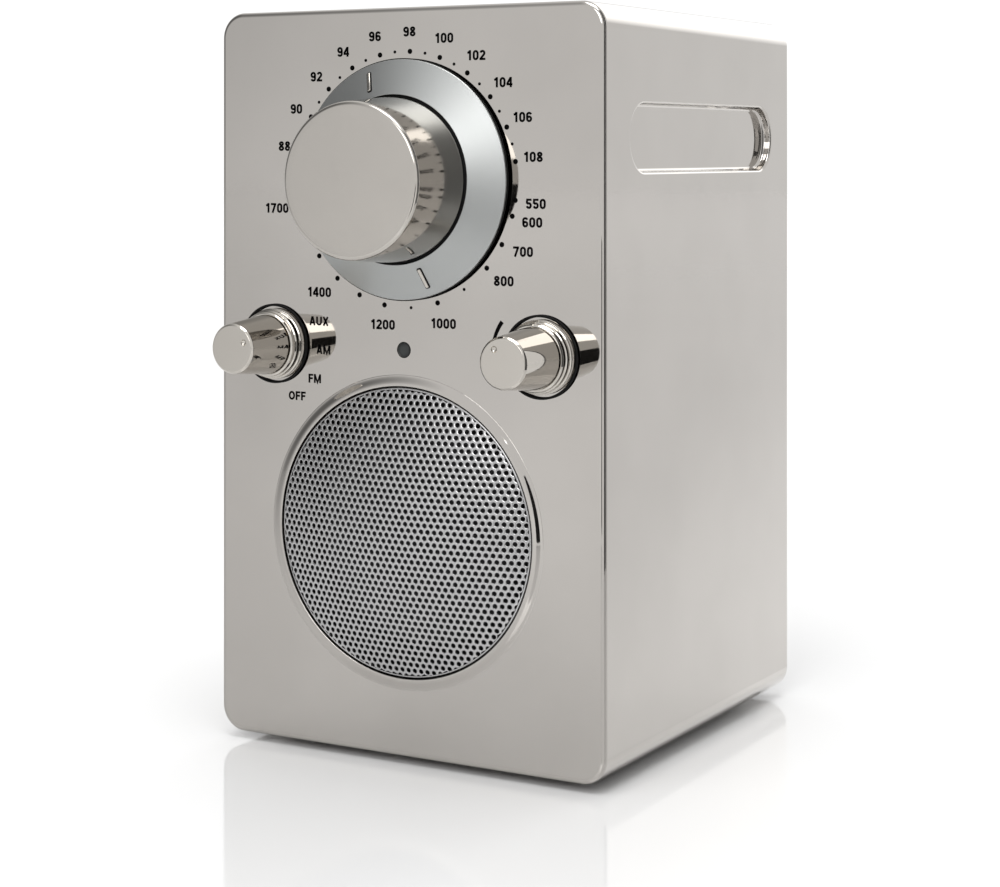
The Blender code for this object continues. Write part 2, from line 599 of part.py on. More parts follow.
def build_rear():
    """Inset back cover with its screws, the battery hatch, its door and the jacks."""
    width = 2 * INNER_X - 2 * GAP
    height = INNER_HIGH - INNER_LOW - 2 * GAP
    middle = (INNER_HIGH + INNER_LOW) / 2
    outline = rounded_rectangle(width, height, CORNER_RADIUS - WALL - GAP / 2, 3)
    cover = plate("rear_cover", [outline], -COVER_THICK, 0.0, (0.0, COVER_FACE, middle), REAR, BLACK)
    hatch = rounded_rectangle(HATCH_WIDTH, HATCH_HEIGHT, DOOR_CORNER - DOOR_LEDGE / 2, 2)
    cut(cover, plate("hatch_opening", [hatch], -2 * COVER_THICK, WALL, (0.0, COVER_FACE, HATCH_Z), REAR))
    stud_hole = ANTENNA_STUD_RADIUS + 2 * GAP + SMALL_BUSH_WALL
    openings = [(SCREW_RADIUS + GAP, SMALL, x, z) for x, z in PILLARS]
    openings.append((stud_hole, COARSE, ANTENNA_X, PAD_TOP + ANTENNA_Z))
    openings += [(JACK_RADIUS + GAP, COARSE, JACK_X, jack_height(k)) for _, k in JACKS]
    for radius, steps, x, z in openings:
        cut(cover, rod("cover_opening", radius, -2 * COVER_THICK, WALL, (x, COVER_FACE, z), REAR,
                       steps=steps))
    recess = rounded_rectangle(DOOR_WIDTH + 2 * GAP, DOOR_HEIGHT + 2 * GAP, DOOR_CORNER, 3)
    cut(cover, plate("door_recess", [recess], -DOOR_THICK - GAP, WALL, (0.0, COVER_FACE, DOOR_Z), REAR))
    sink = SCREW_HEAD + GAP
    for index, (x, z) in enumerate(PILLARS):
        spot = (x, COVER_FACE, z)
        cut(cover, rod("screw_sink", SCREW_HEAD_RADIUS + GAP, -sink, WALL, spot, REAR))
        screw(f"cover_screw_{index + 1}", SCREW_LENGTH - SCREW_HEAD, spot, REAR)
    door_outline = rounded_rectangle(DOOR_WIDTH, DOOR_HEIGHT, DOOR_CORNER - GAP, 3)
    hole = circle(SCREW_RADIUS + GAP, SMALL, 0.0, DOOR_SCREW_Z - DOOR_Z)
    door = plate("battery_door", [door_outline, hole], -DOOR_THICK, 0.0, (0.0, COVER_FACE, DOOR_Z), REAR,
                 BLACK)
    hatch_low = HATCH_Z - HATCH_HEIGHT / 2
    inside = COVER_BACK - GAP
    web = block("tab_web", (-TAB_WIDTH / 2, inside - TAB_THICK, hatch_low + GAP),
                (TAB_WIDTH / 2, COVER_FACE - DOOR_THICK / 2, hatch_low + GAP + TAB_THICK))
    join(door, web)
    hook = block("tab_hook", (-TAB_WIDTH / 2 + GAP, inside - TAB_THICK + GAP / 3, hatch_low - TAB_THICK),
                 (TAB_WIDTH / 2 - GAP, inside, hatch_low + GAP + TAB_THICK / 2))
    join(door, hook)
    lug = COVER_BACK - DOOR_SCREW_LENGTH
    boss = rod("door_boss", 2 * SCREW_RADIUS, -(COVER_FACE - lug), -COVER_THICK / 2 - DOOR_THICK / 2,
               (0.0, COVER_FACE, DOOR_SCREW_Z), REAR)
    join(cover, boss)
    cut(cover, rod("door_bore", SCREW_RADIUS + GAP, -2 * (COVER_FACE - lug), WALL,
                   (0.0, COVER_FACE, DOOR_SCREW_Z), REAR))
    merge_flats(cover)
    screw("door_screw", DOOR_SCREW_LENGTH, (0.0, COVER_FACE + SCREW_HEAD + GAP, DOOR_SCREW_Z), REAR)
    for name, k in JACKS:
        build_jack(name, k)


def jack_height(k):
    return PAD_TOP + JACK_LOW + (len(JACKS) - 1 - k) * JACK_SPACING


def build_jack(name, k):
    """A socket behind the cover, with its mouth flush with the cover's face."""
    power = name == "dc_jack"
    bore = POWER_BORE if power else PHONE_BORE
    shoulder = -COVER_THICK - GAP
    floor = shoulder - JACK_BODY_DEPTH
    profile = [(bore, 0.0), (JACK_RADIUS, 0.0), (JACK_RADIUS, shoulder), (JACK_BODY_RADIUS, shoulder),
               (JACK_BODY_RADIUS, floor), (0.0, floor), (0.0, floor + WALL)]
    if power:
        tip = shoulder + GAP
        profile = profile[:-1] + [(0.0, tip), (POWER_PIN, tip - POWER_PIN), (POWER_PIN, floor + WALL)]
    profile.append((bore, floor + WALL))
    spot = (JACK_X, COVER_FACE, jack_height(k))
    turned(name, profile, COARSE, spot, REAR, BLACK, ring=True)


def involute(angle):
    return math.tan(angle) - angle


def tooth_half_angle(teeth, pitch, radius, slack):
    """Half the angle that a tooth spans at a radius, with its share of the backlash taken off."""
    base = pitch * math.cos(PRESSURE_ANGLE)
    at_radius = math.acos(base / max(radius, base))
    return math.pi / (2 * teeth) - slack / (2 * pitch) + involute(PRESSURE_ANGLE) - involute(at_radius)


def gear_outline(teeth, phase):
    """Outline of an external gear with a tooth centred at the phase angle."""
    pitch = GEAR_MODULE * teeth / 2
    radii = (pitch - DEDENDUM * GEAR_MODULE, pitch + ADDENDUM * GEAR_MODULE)
    halves = [tooth_half_angle(teeth, pitch, r, BACKLASH) for r in radii]
    points = []
    for k in range(teeth):
        middle = phase + 2 * math.pi * k / teeth
        flank = [(r, middle - h) for r, h in zip(radii, halves)]
        flank += [(r, middle + h) for r, h in reversed(list(zip(radii, halves)))]
        points += [(r * math.cos(a), r * math.sin(a)) for r, a in flank]
    return points


def ring_outline(teeth):
    """Inner outline of the ring gear, with a tooth centred at angle zero."""
    pitch = GEAR_MODULE * teeth / 2
    tip = pitch - ADDENDUM * GEAR_MODULE
    root = pitch + DEDENDUM * GEAR_MODULE
    points = []
    for k in range(teeth):
        middle = 2 * math.pi * (k + 0.5) / teeth
        near = tooth_half_angle(teeth, pitch, tip, -BACKLASH)
        far = tooth_half_angle(teeth, pitch, root, -BACKLASH)
        corners = ((tip, middle - near), (root, middle - far), (root, middle + far), (tip, middle + near))
        points += [(r * math.cos(a), r * math.sin(a)) for r, a in corners]
    return points


def planet_phase(angle):
    """Phase that meshes a planet with the sun, whose tooth is at angle zero."""
    share = 0.5 - angle * SUN_TEETH / (2 * math.pi)
    return angle + math.pi - share * 2 * math.pi / PLANET_TEETH


def build_tuner():
    """Dial, knob and the five to one reduction between them, with the tuning capacitor."""
    spot = at_front(TUNER)
    edge = DIAL_BACK + DIAL_RIM
    dial_profile = [(HUB_BORE, DIAL_TOP), (DIAL_TOP_RADIUS, DIAL_TOP),
                    (DIAL_RADIUS - DIAL_RIM / 2, edge + DIAL_RIM / 2),
                    (DIAL_RADIUS, edge), (DIAL_RADIUS, DIAL_BACK), (HUB_RADIUS, DIAL_BACK),
                    (HUB_RADIUS, HUB_END), (HUB_BORE, HUB_END)]
    dial = turned("dial_plate", dial_profile, FINE, spot, FRONT, SATIN, ring=True)
    slope = math.atan2(DIAL_TOP - edge - DIAL_RIM / 2, DIAL_RADIUS - DIAL_RIM / 2 - DIAL_TOP_RADIUS)
    run = (DIAL_RADIUS - DIAL_RIM / 2 - POINTER_RADIUS) * math.tan(slope)
    for turn in (0.0, math.pi):
        bar = plate("dial_pointer", [rounded_rectangle(POINTER_LENGTH, POINTER_WIDTH, POINTER_WIDTH / 4,
                                                       1)],
                    -POINTER_HEIGHT, POINTER_HEIGHT / 2, spot, FRONT)
        angle = math.pi / 2 + math.radians(POINTER_ANGLE) + turn
        bar.location = (spot[0] + POINTER_RADIUS * math.cos(angle), spot[1] - edge - DIAL_RIM / 2 - run,
                        spot[2] + POINTER_RADIUS * math.sin(angle))
        tilt_bar(bar, angle, slope)
        join(dial, bar)
    base = DIAL_TOP + GAP
    top = base + KNOB_HEIGHT
    inner = top - KNOB_WALL
    knob_profile = [(0.0, top), (KNOB_END_RADIUS - KNOB_CHAMFER, top),
                    (KNOB_END_RADIUS, top - KNOB_CHAMFER),
                    (KNOB_RADIUS, base), (KNOB_RADIUS - KNOB_WALL, base), (KNOB_END_RADIUS - KNOB_WALL,
                                                                           inner),
                    (KNOB_BOSS_RADIUS, inner), (KNOB_BOSS_RADIUS, base), (HUB_BORE, base),
                    (HUB_BORE, inner - GAP), (0.0, inner - GAP)]
    turned("tuning_knob", knob_profile, FINE, spot, FRONT, CHROME)
    shaft_top = inner - 2 * GAP
    shaft = [(0.0, shaft_top), (TUNER_SHAFT_RADIUS, shaft_top), (TUNER_SHAFT_RADIUS, HUB_END),
             (SUN_SEAT_RADIUS, HUB_END), (SUN_SEAT_RADIUS, GEAR_BACK), (0.0, GEAR_BACK)]
    turned("tuning_shaft", shaft, COARSE, spot, FRONT, STEEL)
    sun = [gear_outline(SUN_TEETH, 0.0), circle(SUN_SEAT_RADIUS + GAP, COARSE)]
    plate("sun_gear", sun, GEAR_BACK, GEAR_FRONT, spot, FRONT, BRASS)
    bush = [(BUSH_BORE, 0.0), (BUSH_RADIUS, 0.0), (BUSH_RADIUS, -PANEL - GAP),
            (BUSH_RADIUS + BUSH_FLANGE, -PANEL - GAP), (BUSH_RADIUS + BUSH_FLANGE, BUSH_END), (BUSH_BORE,
                                                                                               BUSH_END)]
    turned("dial_bush", bush, COARSE, spot, FRONT, BRASS, ring=True)
    arms = [(CARRIER_ARM * math.cos(a), CARRIER_ARM * math.sin(a)) for a in PLANET_ANGLES]
    disc = [circle(CARRIER_RADIUS, MEDIUM), circle(BUSH_BORE, COARSE)]
    carrier = plate("planet_carrier", disc, CARRIER_BACK, CARRIER_FRONT, spot, FRONT, STEEL)
    pin_end = ROTOR_BACK + GAP
    for index, ((x, y), angle) in enumerate(zip(arms, PLANET_ANGLES)):
        place = at_front((TUNER[0] + x, TUNER[1] + y))
        pin = rod("planet_pin", PLANET_PIN_RADIUS, pin_end, CARRIER_FRONT - CARRIER_THICK / 2, place, FRONT)
        join(carrier, pin)
        teeth = [gear_outline(PLANET_TEETH, planet_phase(angle)), circle(PLANET_PIN_RADIUS + GAP, SMALL)]
        plate(f"planet_gear_{index + 1}", teeth, GEAR_BACK, GEAR_FRONT, place, FRONT, WHITE)
    cup = [circle(RING_RADIUS, FINE), ring_outline(RING_TEETH)]
    ring = plate("ring_gear", cup, GEAR_BACK - GAP, -PANEL - GAP, spot, FRONT, WHITE)
    for angle in STAKE_ANGLES:
        x = STAKE_CIRCLE * math.cos(angle)
        y = STAKE_CIRCLE * math.sin(angle)
        place = at_front((TUNER[0] + x, TUNER[1] + y))
        low = -PANEL - 2 * GAP - EAR_THICK
        join(ring, rod("ring_ear", RING_EAR_RADIUS, low, -PANEL - 2 * GAP, place, FRONT, steps=COARSE))
        cut(ring, rod("ear_hole", STAKE_RADIUS + GAP, low - GAP, -PANEL, place, FRONT))
    merge_flats(ring)
    holes = [circle(PLANET_PIN_RADIUS + GAP, SMALL, x, y) for x, y in arms]
    rotor = plate("capacitor_rotor", [circle(CARRIER_RADIUS, MEDIUM)] + holes, ROTOR_BACK, ROTOR_FRONT,
                  spot, FRONT, STEEL)
    join(rotor, rod("rotor_spindle", SPINDLE_RADIUS, ROTOR_BACK - SPINDLE_LENGTH,
                    ROTOR_BACK + ROTOR_DISC_THICK / 2,
                    spot, FRONT, steps=COARSE))
    box = plate("tuning_capacitor", [rounded_rectangle(CAPACITOR_SIZE, CAPACITOR_SIZE, CAPACITOR_CORNER,
                                                       2)],
                CAPACITOR_BACK, CAPACITOR_FRONT, spot, FRONT, WHITE)
    cut(box, rod("spindle_bore", SPINDLE_RADIUS + GAP, ROTOR_BACK - SPINDLE_LENGTH - GAP,
                 CAPACITOR_FRONT + WALL,
                 spot, FRONT, steps=COARSE))


def tilt_bar(bar, angle, slope):
    """Lay a pointer bar along a radius of the dial's cone."""
    spin = Matrix.Rotation(angle, 4, "Z")
    lean = Matrix.Rotation(slope, 4, "Y")
    upright = Matrix.Rotation(math.pi / 2, 4, "X")
    bar.rotation_euler = (upright @ spin @ lean).to_euler()


def build_control(name, side, angle, body_radius, body_depth, body_name, body_steps):
    """One small control: rubber ring, stepped collar, knob, shaft and the body behind the panel."""
    spot = at_front((side * CONTROL_X, PAD_TOP + CONTROL_Z))
    tube(f"{name}_gasket", GASKET_RADIUS, GASKET_RADIUS - GASKET_WIDTH, GAP, GAP + GASKET_THICK, MEDIUM,
         spot,
         FRONT, RUBBER)
    rise = COLLAR_HEIGHT / 3
    profile = [(SMALL_BUSH_HOLE, COLLAR_TOP)]
    for step in (2, 1, 0):
        radius = COLLAR_RADIUS - step * COLLAR_STEP
        level = GAP + (3 - step) * rise
        profile += [(radius - COLLAR_STEP / 2, level), (radius, level - COLLAR_STEP / 2)]
    profile += [(COLLAR_RADIUS, GAP), (SMALL_BUSH_HOLE, GAP)]
    turned(f"{name}_collar", profile, MEDIUM, spot, FRONT, CHROME, ring=True)
    top = SMALL_KNOB_BASE + SMALL_KNOB_HEIGHT
    grip = SMALL_KNOB_BASE + SMALL_SHAFT_GRIP
    knob = [(0.0, top), (SMALL_KNOB_END_RADIUS - SMALL_KNOB_CHAMFER, top),
            (SMALL_KNOB_END_RADIUS, top - SMALL_KNOB_CHAMFER), (SMALL_KNOB_RADIUS, SMALL_KNOB_BASE),
            (SMALL_BUSH_BORE, SMALL_KNOB_BASE), (SMALL_BUSH_BORE, grip + GAP), (0.0, grip + GAP)]
    piece = turned(f"{name}_knob", knob, MEDIUM, spot, FRONT, CHROME)
    turn = math.radians(angle)
    dent = (spot[0] + DIMPLE_OFFSET * math.cos(turn), spot[1] - top,
            spot[2] + DIMPLE_OFFSET * math.sin(turn))
    dimple = [(0.0, DIMPLE_RADIUS), (DIMPLE_RADIUS, DIMPLE_RADIUS), (DIMPLE_RADIUS, 0.0),
              (DIMPLE_RADIUS - GAP, -DIMPLE_FLOOR), (0.0, -DIMPLE_DEPTH)]
    cut(piece, turned("knob_dimple", dimple, SMALL, dent, FRONT))
    back = -PANEL - GAP
    rod(f"{name}_shaft", SMALL_SHAFT_RADIUS, back - SMALL_SHAFT_DEPTH, grip, spot, FRONT, STEEL,
        steps=COARSE)
    floor = back - SMALL_SHAFT_DEPTH - GAP
    lip = COLLAR_TOP - GAP
    body = [(SMALL_BUSH_BORE, lip), (SMALL_BUSH_RADIUS, lip), (SMALL_BUSH_RADIUS, back),
            (body_radius, back),
            (body_radius, back - body_depth), (0.0, back - body_depth), (0.0, floor), (SMALL_BUSH_BORE,
                                                                                       floor)]
    turned(body_name, body, body_steps, spot, FRONT, STEEL, ring=True)


def build_lamp():
    """Dark lens of the tuning lamp, held by its flange behind the panel."""
    flange = -PANEL - GAP
    profile = [(0.0, LAMP_PROUD), (LAMP_RADIUS - LAMP_SHOULDER, LAMP_PROUD - LAMP_SHOULDER / 3),
               (LAMP_RADIUS, 0.0), (LAMP_RADIUS, flange),
               (LAMP_RADIUS + LAMP_FLANGE, flange), (LAMP_RADIUS + LAMP_FLANGE, flange - LAMP_FLANGE),
               (0.0, flange - LAMP_FLANGE)]
    turned("indicator_lens", profile, COARSE, at_front(LAMP), FRONT, BLACK)


def grille_holes():
    """Centres of the grille's holes, in staggered rows inside the visible dome."""
    reach = PAN_INNER - GAP - GRILLE_HOLE
    row_step = GRILLE_PITCH * math.sqrt(3) / 2
    rows = int(reach / row_step)
    centres = []
    for row in range(-rows, rows + 1):
        offset = GRILLE_PITCH / 2 if row % 2 else 0.0
        columns = int(reach / GRILLE_PITCH) + 1
        for column in range(-columns, columns + 1):
            x = column * GRILLE_PITCH + offset
            y = row * row_step
            if math.hypot(x, y) < reach:
                centres.append((x, y))
    return centres


def build_grille():
    """Perforated sheet pressed into a shallow dome, with its flange trapped behind the panel."""
    holes = [circle(GRILLE_HOLE, 6, x, y, math.pi / 6) for x, y in grille_holes()]
    rim = [circle(PAN_RADIUS - GRILLE_THICK / 2, FINE)]
    mesh = plate_mesh("speaker_grille", rim + holes, -GRILLE_THICK, 0.0, merge=False)
    for vert in mesh.vertices:
        share = math.hypot(vert.co.x, vert.co.y) / PAN_RADIUS
        vert.co.z += PAN_EDGE + GRILLE_DOME * (1 - share ** 2)
    sheet = new_object("speaker_grille", mesh, at_front(SPEAKER), FRONT, SATIN)
    top = PAN_EDGE - GRILLE_THICK / 4
    wall = [(PAN_INNER, top), (PAN_RADIUS, top), (PAN_RADIUS, GRILLE_FRONT), (GRILLE_RADIUS, GRILLE_FRONT),
            (GRILLE_RADIUS, GRILLE_BACK), (PAN_INNER, GRILLE_BACK)]
    join(sheet, turned("grille_flange", wall, FINE, at_front(SPEAKER), FRONT, ring=True))


def build_speaker():
    """Loudspeaker: seal, basket, magnet, surround, cone, spider and voice coil."""
    spot = at_front(SPEAKER)
    tube("speaker_gasket", GRILLE_RADIUS, ROLL_OUTER, SEAL_BACK, GRILLE_BACK - GAP, FINE, spot, FRONT,
         RUBBER)
    middle = (ROLL_OUTER + ROLL_INNER) / 2
    half = SURROUND_WIDTH / 2
    bend = [math.pi * k / 4 for k in range(5)]
    over = [(middle - half * math.cos(a), LIP_FRONT + SURROUND_ROLL * math.sin(a)) for a in bend]
    thin = half - SURROUND_THICK
    under = [(middle + thin * math.cos(a), LIP_BACK + SURROUND_ROLL * math.sin(a)) for a in bend]
    inner_edge = ROLL_INNER - SURROUND_WIDTH / 3
    profile = [(inner_edge, LIP_FRONT)] + over + [(GRILLE_RADIUS, LIP_FRONT), (GRILLE_RADIUS, LIP_BACK)]
    profile += under + [(inner_edge, LIP_BACK)]
    turned("speaker_surround", profile, MEDIUM, spot, FRONT, RUBBER, ring=True)
    build_basket(spot)
    for index, (x, y) in enumerate(FRAME_CORNERS):
        place = (spot[0] + x, spot[1] - FRAME_BACK + GAP + SCREW_HEAD, spot[2] + y)
        screw(f"speaker_screw_{index + 1}", FRAME_SCREW_LENGTH, place, REAR)
    tube("speaker_top_plate", MAGNET_RADIUS, PLATE_BORE, PLATE_BACK, PLATE_FRONT, MEDIUM, spot, FRONT,
         STEEL)
    tube("speaker_magnet", MAGNET_RADIUS, PLATE_BORE + PLATE_THICK, MAGNET_BACK, PLATE_BACK - GAP, MEDIUM,
         spot,
         FRONT, FERRITE)
    pole_top = PLATE_FRONT - GAP
    yoke_radius = MAGNET_RADIUS - PLATE_THICK
    yoke = [(0.0, pole_top), (POLE_RADIUS, pole_top), (POLE_RADIUS, YOKE_FRONT), (yoke_radius, YOKE_FRONT),
            (yoke_radius, YOKE_FRONT - PLATE_THICK), (0.0, YOKE_FRONT - PLATE_THICK)]
    turned("speaker_yoke", yoke, MEDIUM, spot, FRONT, STEEL)
    edge = LIP_BACK - GAP
    neck = edge - CONE_DEPTH
    coil_outer = COIL_RADIUS + COIL_WALL
    neck_radius = coil_outer + GAP
    rim = ROLL_INNER - GAP
    cone = [(0.0, neck + CAP_HEIGHT), (neck_radius / 2, neck + CAP_SHOULDER),
            (neck_radius + CONE_THICK, neck + CONE_THICK), (rim - CONE_THICK, edge), (rim, edge),
            (rim, edge - CONE_THICK), (neck_radius + CONE_THICK, neck - CONE_THICK),
            (neck_radius, neck - CONE_THICK), (neck_radius, neck), (neck_radius / 2,
                                                                    neck + CAP_SHOULDER - CONE_THICK),
            (0.0, neck + CAP_HEIGHT - CONE_THICK)]
    turned("speaker_cone", cone, MEDIUM, spot, FRONT, PAPER)
    coil_top = neck - GAP
    tube("voice_coil", coil_outer, COIL_RADIUS, coil_top - COIL_LENGTH, coil_top, COARSE, spot, FRONT,
         COPPER)
    build_spider(spot, BASKET_FLOOR, coil_outer + GAP)


def build_basket(spot):
    """Square-flanged basket with four windows in its tapered wall."""
    flange = [rounded_rectangle(FRAME_WIDTH, FRAME_HEIGHT, FRAME_CORNER, 5), circle(ROLL_OUTER, MEDIUM)]
    flange += [circle(SCREW_RADIUS + GAP, SMALL, x, y) for x, y in FRAME_CORNERS]
    basket = plate("speaker_basket", flange, FRAME_BACK, FRAME_FRONT, spot, FRONT, BLACK)
    sink = FRAME_FRONT - FRAME_THICK / 3
    throat = PLATE_BORE + FRAME_THICK
    wall = [(ROLL_OUTER - FRAME_THICK / 3, sink), (ROLL_OUTER + FRAME_THICK, sink),
            (MAGNET_RADIUS, BASKET_FLOOR - FRAME_THICK), (throat, BASKET_FLOOR - FRAME_THICK),
            (throat, BASKET_FLOOR), (MAGNET_RADIUS - FRAME_THICK, BASKET_FLOOR)]
    join(basket, turned("basket_wall", wall, MEDIUM, spot, FRONT, ring=True))
    window = WINDOW_SIZE / 2
    middle = FRAME_BACK - FRAME_DEPTH / 2
    outline = rounded_rectangle(WINDOW_SIZE, WINDOW_SIZE, window / 2, 1)
    for k in range(4):
        angle = k * math.pi / 2
        place = (spot[0] + WINDOW_REACH * math.cos(angle), spot[1] - middle,
                 spot[2] + WINDOW_REACH * math.sin(angle))
        cut(basket, plate("basket_window", [outline], -window / 2, window / 2, place, FRONT))
    merge_flats(basket)


def build_spider(spot, floor, inner):
    """Corrugated disc that centres the voice coil, glued to the basket's floor."""
    level = floor + GAP + SURROUND_THICK
    waves = 4
    step = (SPIDER_RADIUS - inner) / waves
    top = [(inner + k * step, level + (SPIDER_WAVE if k % 2 else 0.0)) for k in range(waves + 1)]
    low = [(r, h - SURROUND_THICK) for r, h in reversed(top)]
    turned("speaker_spider", top + low, COARSE, spot, FRONT, PAPER, ring=True)


def build_inside():
    """Circuit board on its posts, aerial rod with its coil, and the battery pack."""
    spot = at_front(TUNER)
    holes = [circle(BOARD_PIN_RADIUS + GAP, SMALL, x - TUNER[0], z - TUNER[1]) for x, z in BOARD_POSTS]
    outline = rounded_rectangle(BOARD_WIDTH, BOARD_HEIGHT, BOARD_PIN_RADIUS, 1)
    plate("main_board", [outline] + holes, BOARD_BACK, BOARD_FRONT, spot, FRONT, BOARD)
    coil_radius = ROD_RADIUS + GAP + COIL_TURNS_THICK
    rod_y = Y_FRONT - BOARD_BACK + GAP + coil_radius
    place = (0.0, rod_y, TUNER[1] + ROD_RISE)
    across = (0.0, math.pi / 2, 0.0)
    rod("ferrite_rod", ROD_RADIUS, -ROD_LENGTH / 2, ROD_LENGTH / 2, place, across, FERRITE, steps=COARSE)
    tube("aerial_coil", coil_radius, ROD_RADIUS + GAP, -COIL_TURNS_LENGTH / 2, COIL_TURNS_LENGTH / 2,
         COARSE, place,
         across, COPPER)
    rear = COVER_BACK - 2 * GAP - TAB_THICK
    low = INNER_LOW + GAP
    block("battery_pack", (-BATTERY_WIDTH / 2, rear - BATTERY_DEPTH, low),
          (BATTERY_WIDTH / 2, rear, low + BATTERY_HEIGHT),
          SLEEVE, axis=2, corner=BATTERY_CORNER, steps=4)


def build_antenna():
    """Swivel bush, fork, pin and telescoping sections, lying flat across the back."""
    height = PAD_TOP + ANTENNA_Z
    spot = (ANTENNA_X, COVER_FACE, height)
    bore = ANTENNA_STUD_RADIUS + GAP
    neck = bore + SMALL_BUSH_WALL
    top = GAP + ANTENNA_BUSH_THICK
    bush = [(bore, top), (ANTENNA_BUSH_RADIUS - GAP, top), (ANTENNA_BUSH_RADIUS, top - GAP),
            (ANTENNA_BUSH_RADIUS, GAP),
            (neck, GAP), (neck, -COVER_THICK - GAP), (bore, -COVER_THICK - GAP)]
    turned("antenna_bush", bush, COARSE, spot, REAR, CHROME, ring=True)
    base = top + GAP
    fork_top = base + FORK_DEPTH
    outline = rounded_rectangle(FORK_WIDTH, FORK_WIDTH, FORK_WIDTH / 4, 3)
    fork = plate("antenna_swivel", [outline], base, fork_top, spot, REAR, CHROME)
    head = -COVER_THICK - 2 * GAP
    stud = [(0.0, base + FORK_FLOOR / 2), (ANTENNA_STUD_RADIUS, base + FORK_FLOOR / 2),
            (ANTENNA_STUD_RADIUS, head),
            (neck, head), (neck, head - ANTENNA_STUD_HEAD), (0.0, head - ANTENNA_STUD_HEAD)]
    join(fork, turned("swivel_stud", stud, SMALL, spot, REAR))
    floor = COVER_FACE + base + FORK_FLOOR
    slot = block("fork_slot", (ANTENNA_X - FORK_WIDTH, floor, height - FORK_SLOT / 2),
                 (ANTENNA_X + FORK_WIDTH, COVER_FACE + 2 * fork_top, height + FORK_SLOT / 2))
    cut(fork, slot)
    eye = (FORK_DEPTH - FORK_FLOOR) / 2 - GAP
    axis_y = floor + GAP + eye
    pin_hole = ANTENNA_PIN_RADIUS + GAP
    place = (ANTENNA_X, axis_y, height)
    cut(fork, rod("fork_hole", pin_hole, -FORK_WIDTH, FORK_WIDTH, place, UPRIGHT))
    rod("antenna_pin", ANTENNA_PIN_RADIUS, -FORK_WIDTH / 2, FORK_WIDTH / 2, place, UPRIGHT, STEEL)
    along = (0.0, -math.pi / 2, 0.0)
    end = ANTENNA_NECK + ANTENNA_LENGTH
    outer = ANTENNA_RADIUS
    wall = ANTENNA_STEP - GAP
    bottom = ANTENNA_NECK
    profile = [(outer - wall, end), (outer, end), (outer, bottom), (0.0, bottom),
               (0.0, bottom + ANTENNA_STEP),
               (outer - wall, bottom + ANTENNA_STEP)]
    sleeve = turned("antenna_tube", profile, COARSE, place, along, CHROME, ring=True)
    flat = FORK_SLOT / 2 - GAP
    loops = [eye_outline(eye, bottom + ANTENNA_STEP / 2), circle(pin_hole, SMALL)]
    join(sleeve, plate("antenna_eye", loops, -flat, flat, place, (0.0, 0.0, math.pi)))
    names = ("antenna_middle", "antenna_inner", "antenna_tip")
    for index in range(ANTENNA_SECTIONS):
        radius = ANTENNA_RADIUS - (index + 1) * ANTENNA_STEP
        start = bottom + ANTENNA_STEP + GAP + index * (ANTENNA_STEP + GAP)
        stop = end + (index + 1) * ANTENNA_PEEP
        if index < ANTENNA_SECTIONS - 1:
            floor_end = start + ANTENNA_STEP
            shape = [(radius - wall, stop), (radius, stop), (radius, start), (0.0, start), (0.0, floor_end),
                     (radius - wall, floor_end)]
            turned(names[index], shape, COARSE, place, along, CHROME, ring=True)
        else:
            cap = stop + ANTENNA_CAP_LENGTH
            shape = [(0.0, cap), (ANTENNA_CAP_RADIUS - ANTENNA_CAP_EDGE, cap),
                     (ANTENNA_CAP_RADIUS, cap - ANTENNA_CAP_EDGE),
                     (ANTENNA_CAP_RADIUS, stop), (radius, stop), (radius, start), (0.0, start)]
            turned(names[index], shape, COARSE, place, along, CHROME)


def eye_outline(radius, reach):
    """A flat lug with a round end at the pin, running out to the tube."""
    return arc(0.0, 0.0, radius, 90, 270, 6) + [(reach, -radius), (reach, radius)]


build_cabinet()
build_base_pad()
build_rear()
build_tuner()
build_control("selector", -1, SELECTOR_ANGLE, SWITCH_RADIUS, SWITCH_DEPTH, "selector_switch", 8)
build_control("volume", 1, VOLUME_ANGLE, POT_RADIUS, POT_DEPTH, "volume_control", COARSE)
build_lamp()
build_grille()
build_speaker()
build_inside()
build_antenna()
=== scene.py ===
import json
import math

import bmesh
import bpy
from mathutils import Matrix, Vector


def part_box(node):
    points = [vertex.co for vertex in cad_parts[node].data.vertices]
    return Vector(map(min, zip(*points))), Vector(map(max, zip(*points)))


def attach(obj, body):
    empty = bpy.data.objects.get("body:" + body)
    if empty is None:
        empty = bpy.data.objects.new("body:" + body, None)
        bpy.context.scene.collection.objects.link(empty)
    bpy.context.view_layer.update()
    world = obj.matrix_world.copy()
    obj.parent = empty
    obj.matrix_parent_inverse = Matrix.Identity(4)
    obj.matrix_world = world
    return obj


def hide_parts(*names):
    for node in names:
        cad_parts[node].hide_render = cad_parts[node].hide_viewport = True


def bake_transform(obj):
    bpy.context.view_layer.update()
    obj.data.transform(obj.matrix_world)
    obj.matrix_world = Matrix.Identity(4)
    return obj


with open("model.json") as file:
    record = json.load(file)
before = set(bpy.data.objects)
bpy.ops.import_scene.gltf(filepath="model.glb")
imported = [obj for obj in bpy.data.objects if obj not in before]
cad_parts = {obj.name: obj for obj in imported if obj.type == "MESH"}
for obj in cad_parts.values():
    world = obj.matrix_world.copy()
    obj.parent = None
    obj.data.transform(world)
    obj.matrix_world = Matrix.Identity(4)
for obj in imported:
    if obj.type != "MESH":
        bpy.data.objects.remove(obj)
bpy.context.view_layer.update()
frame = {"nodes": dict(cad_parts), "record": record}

# Sizes, in metres, in the frame of the solids. A profile lists radius and height along its piece's axis.
FRONT_Y = -0.0493
REAR_Y = 0.0493
UNDER = 0.0016
WIDTH = 0.0937
HEIGHT = 0.1572
CORNER = 0.0055
FRONT_EDGE = 0.0011
REAR_EDGE = 0.0020
WALL = 0.0030
GAP = 0.0003
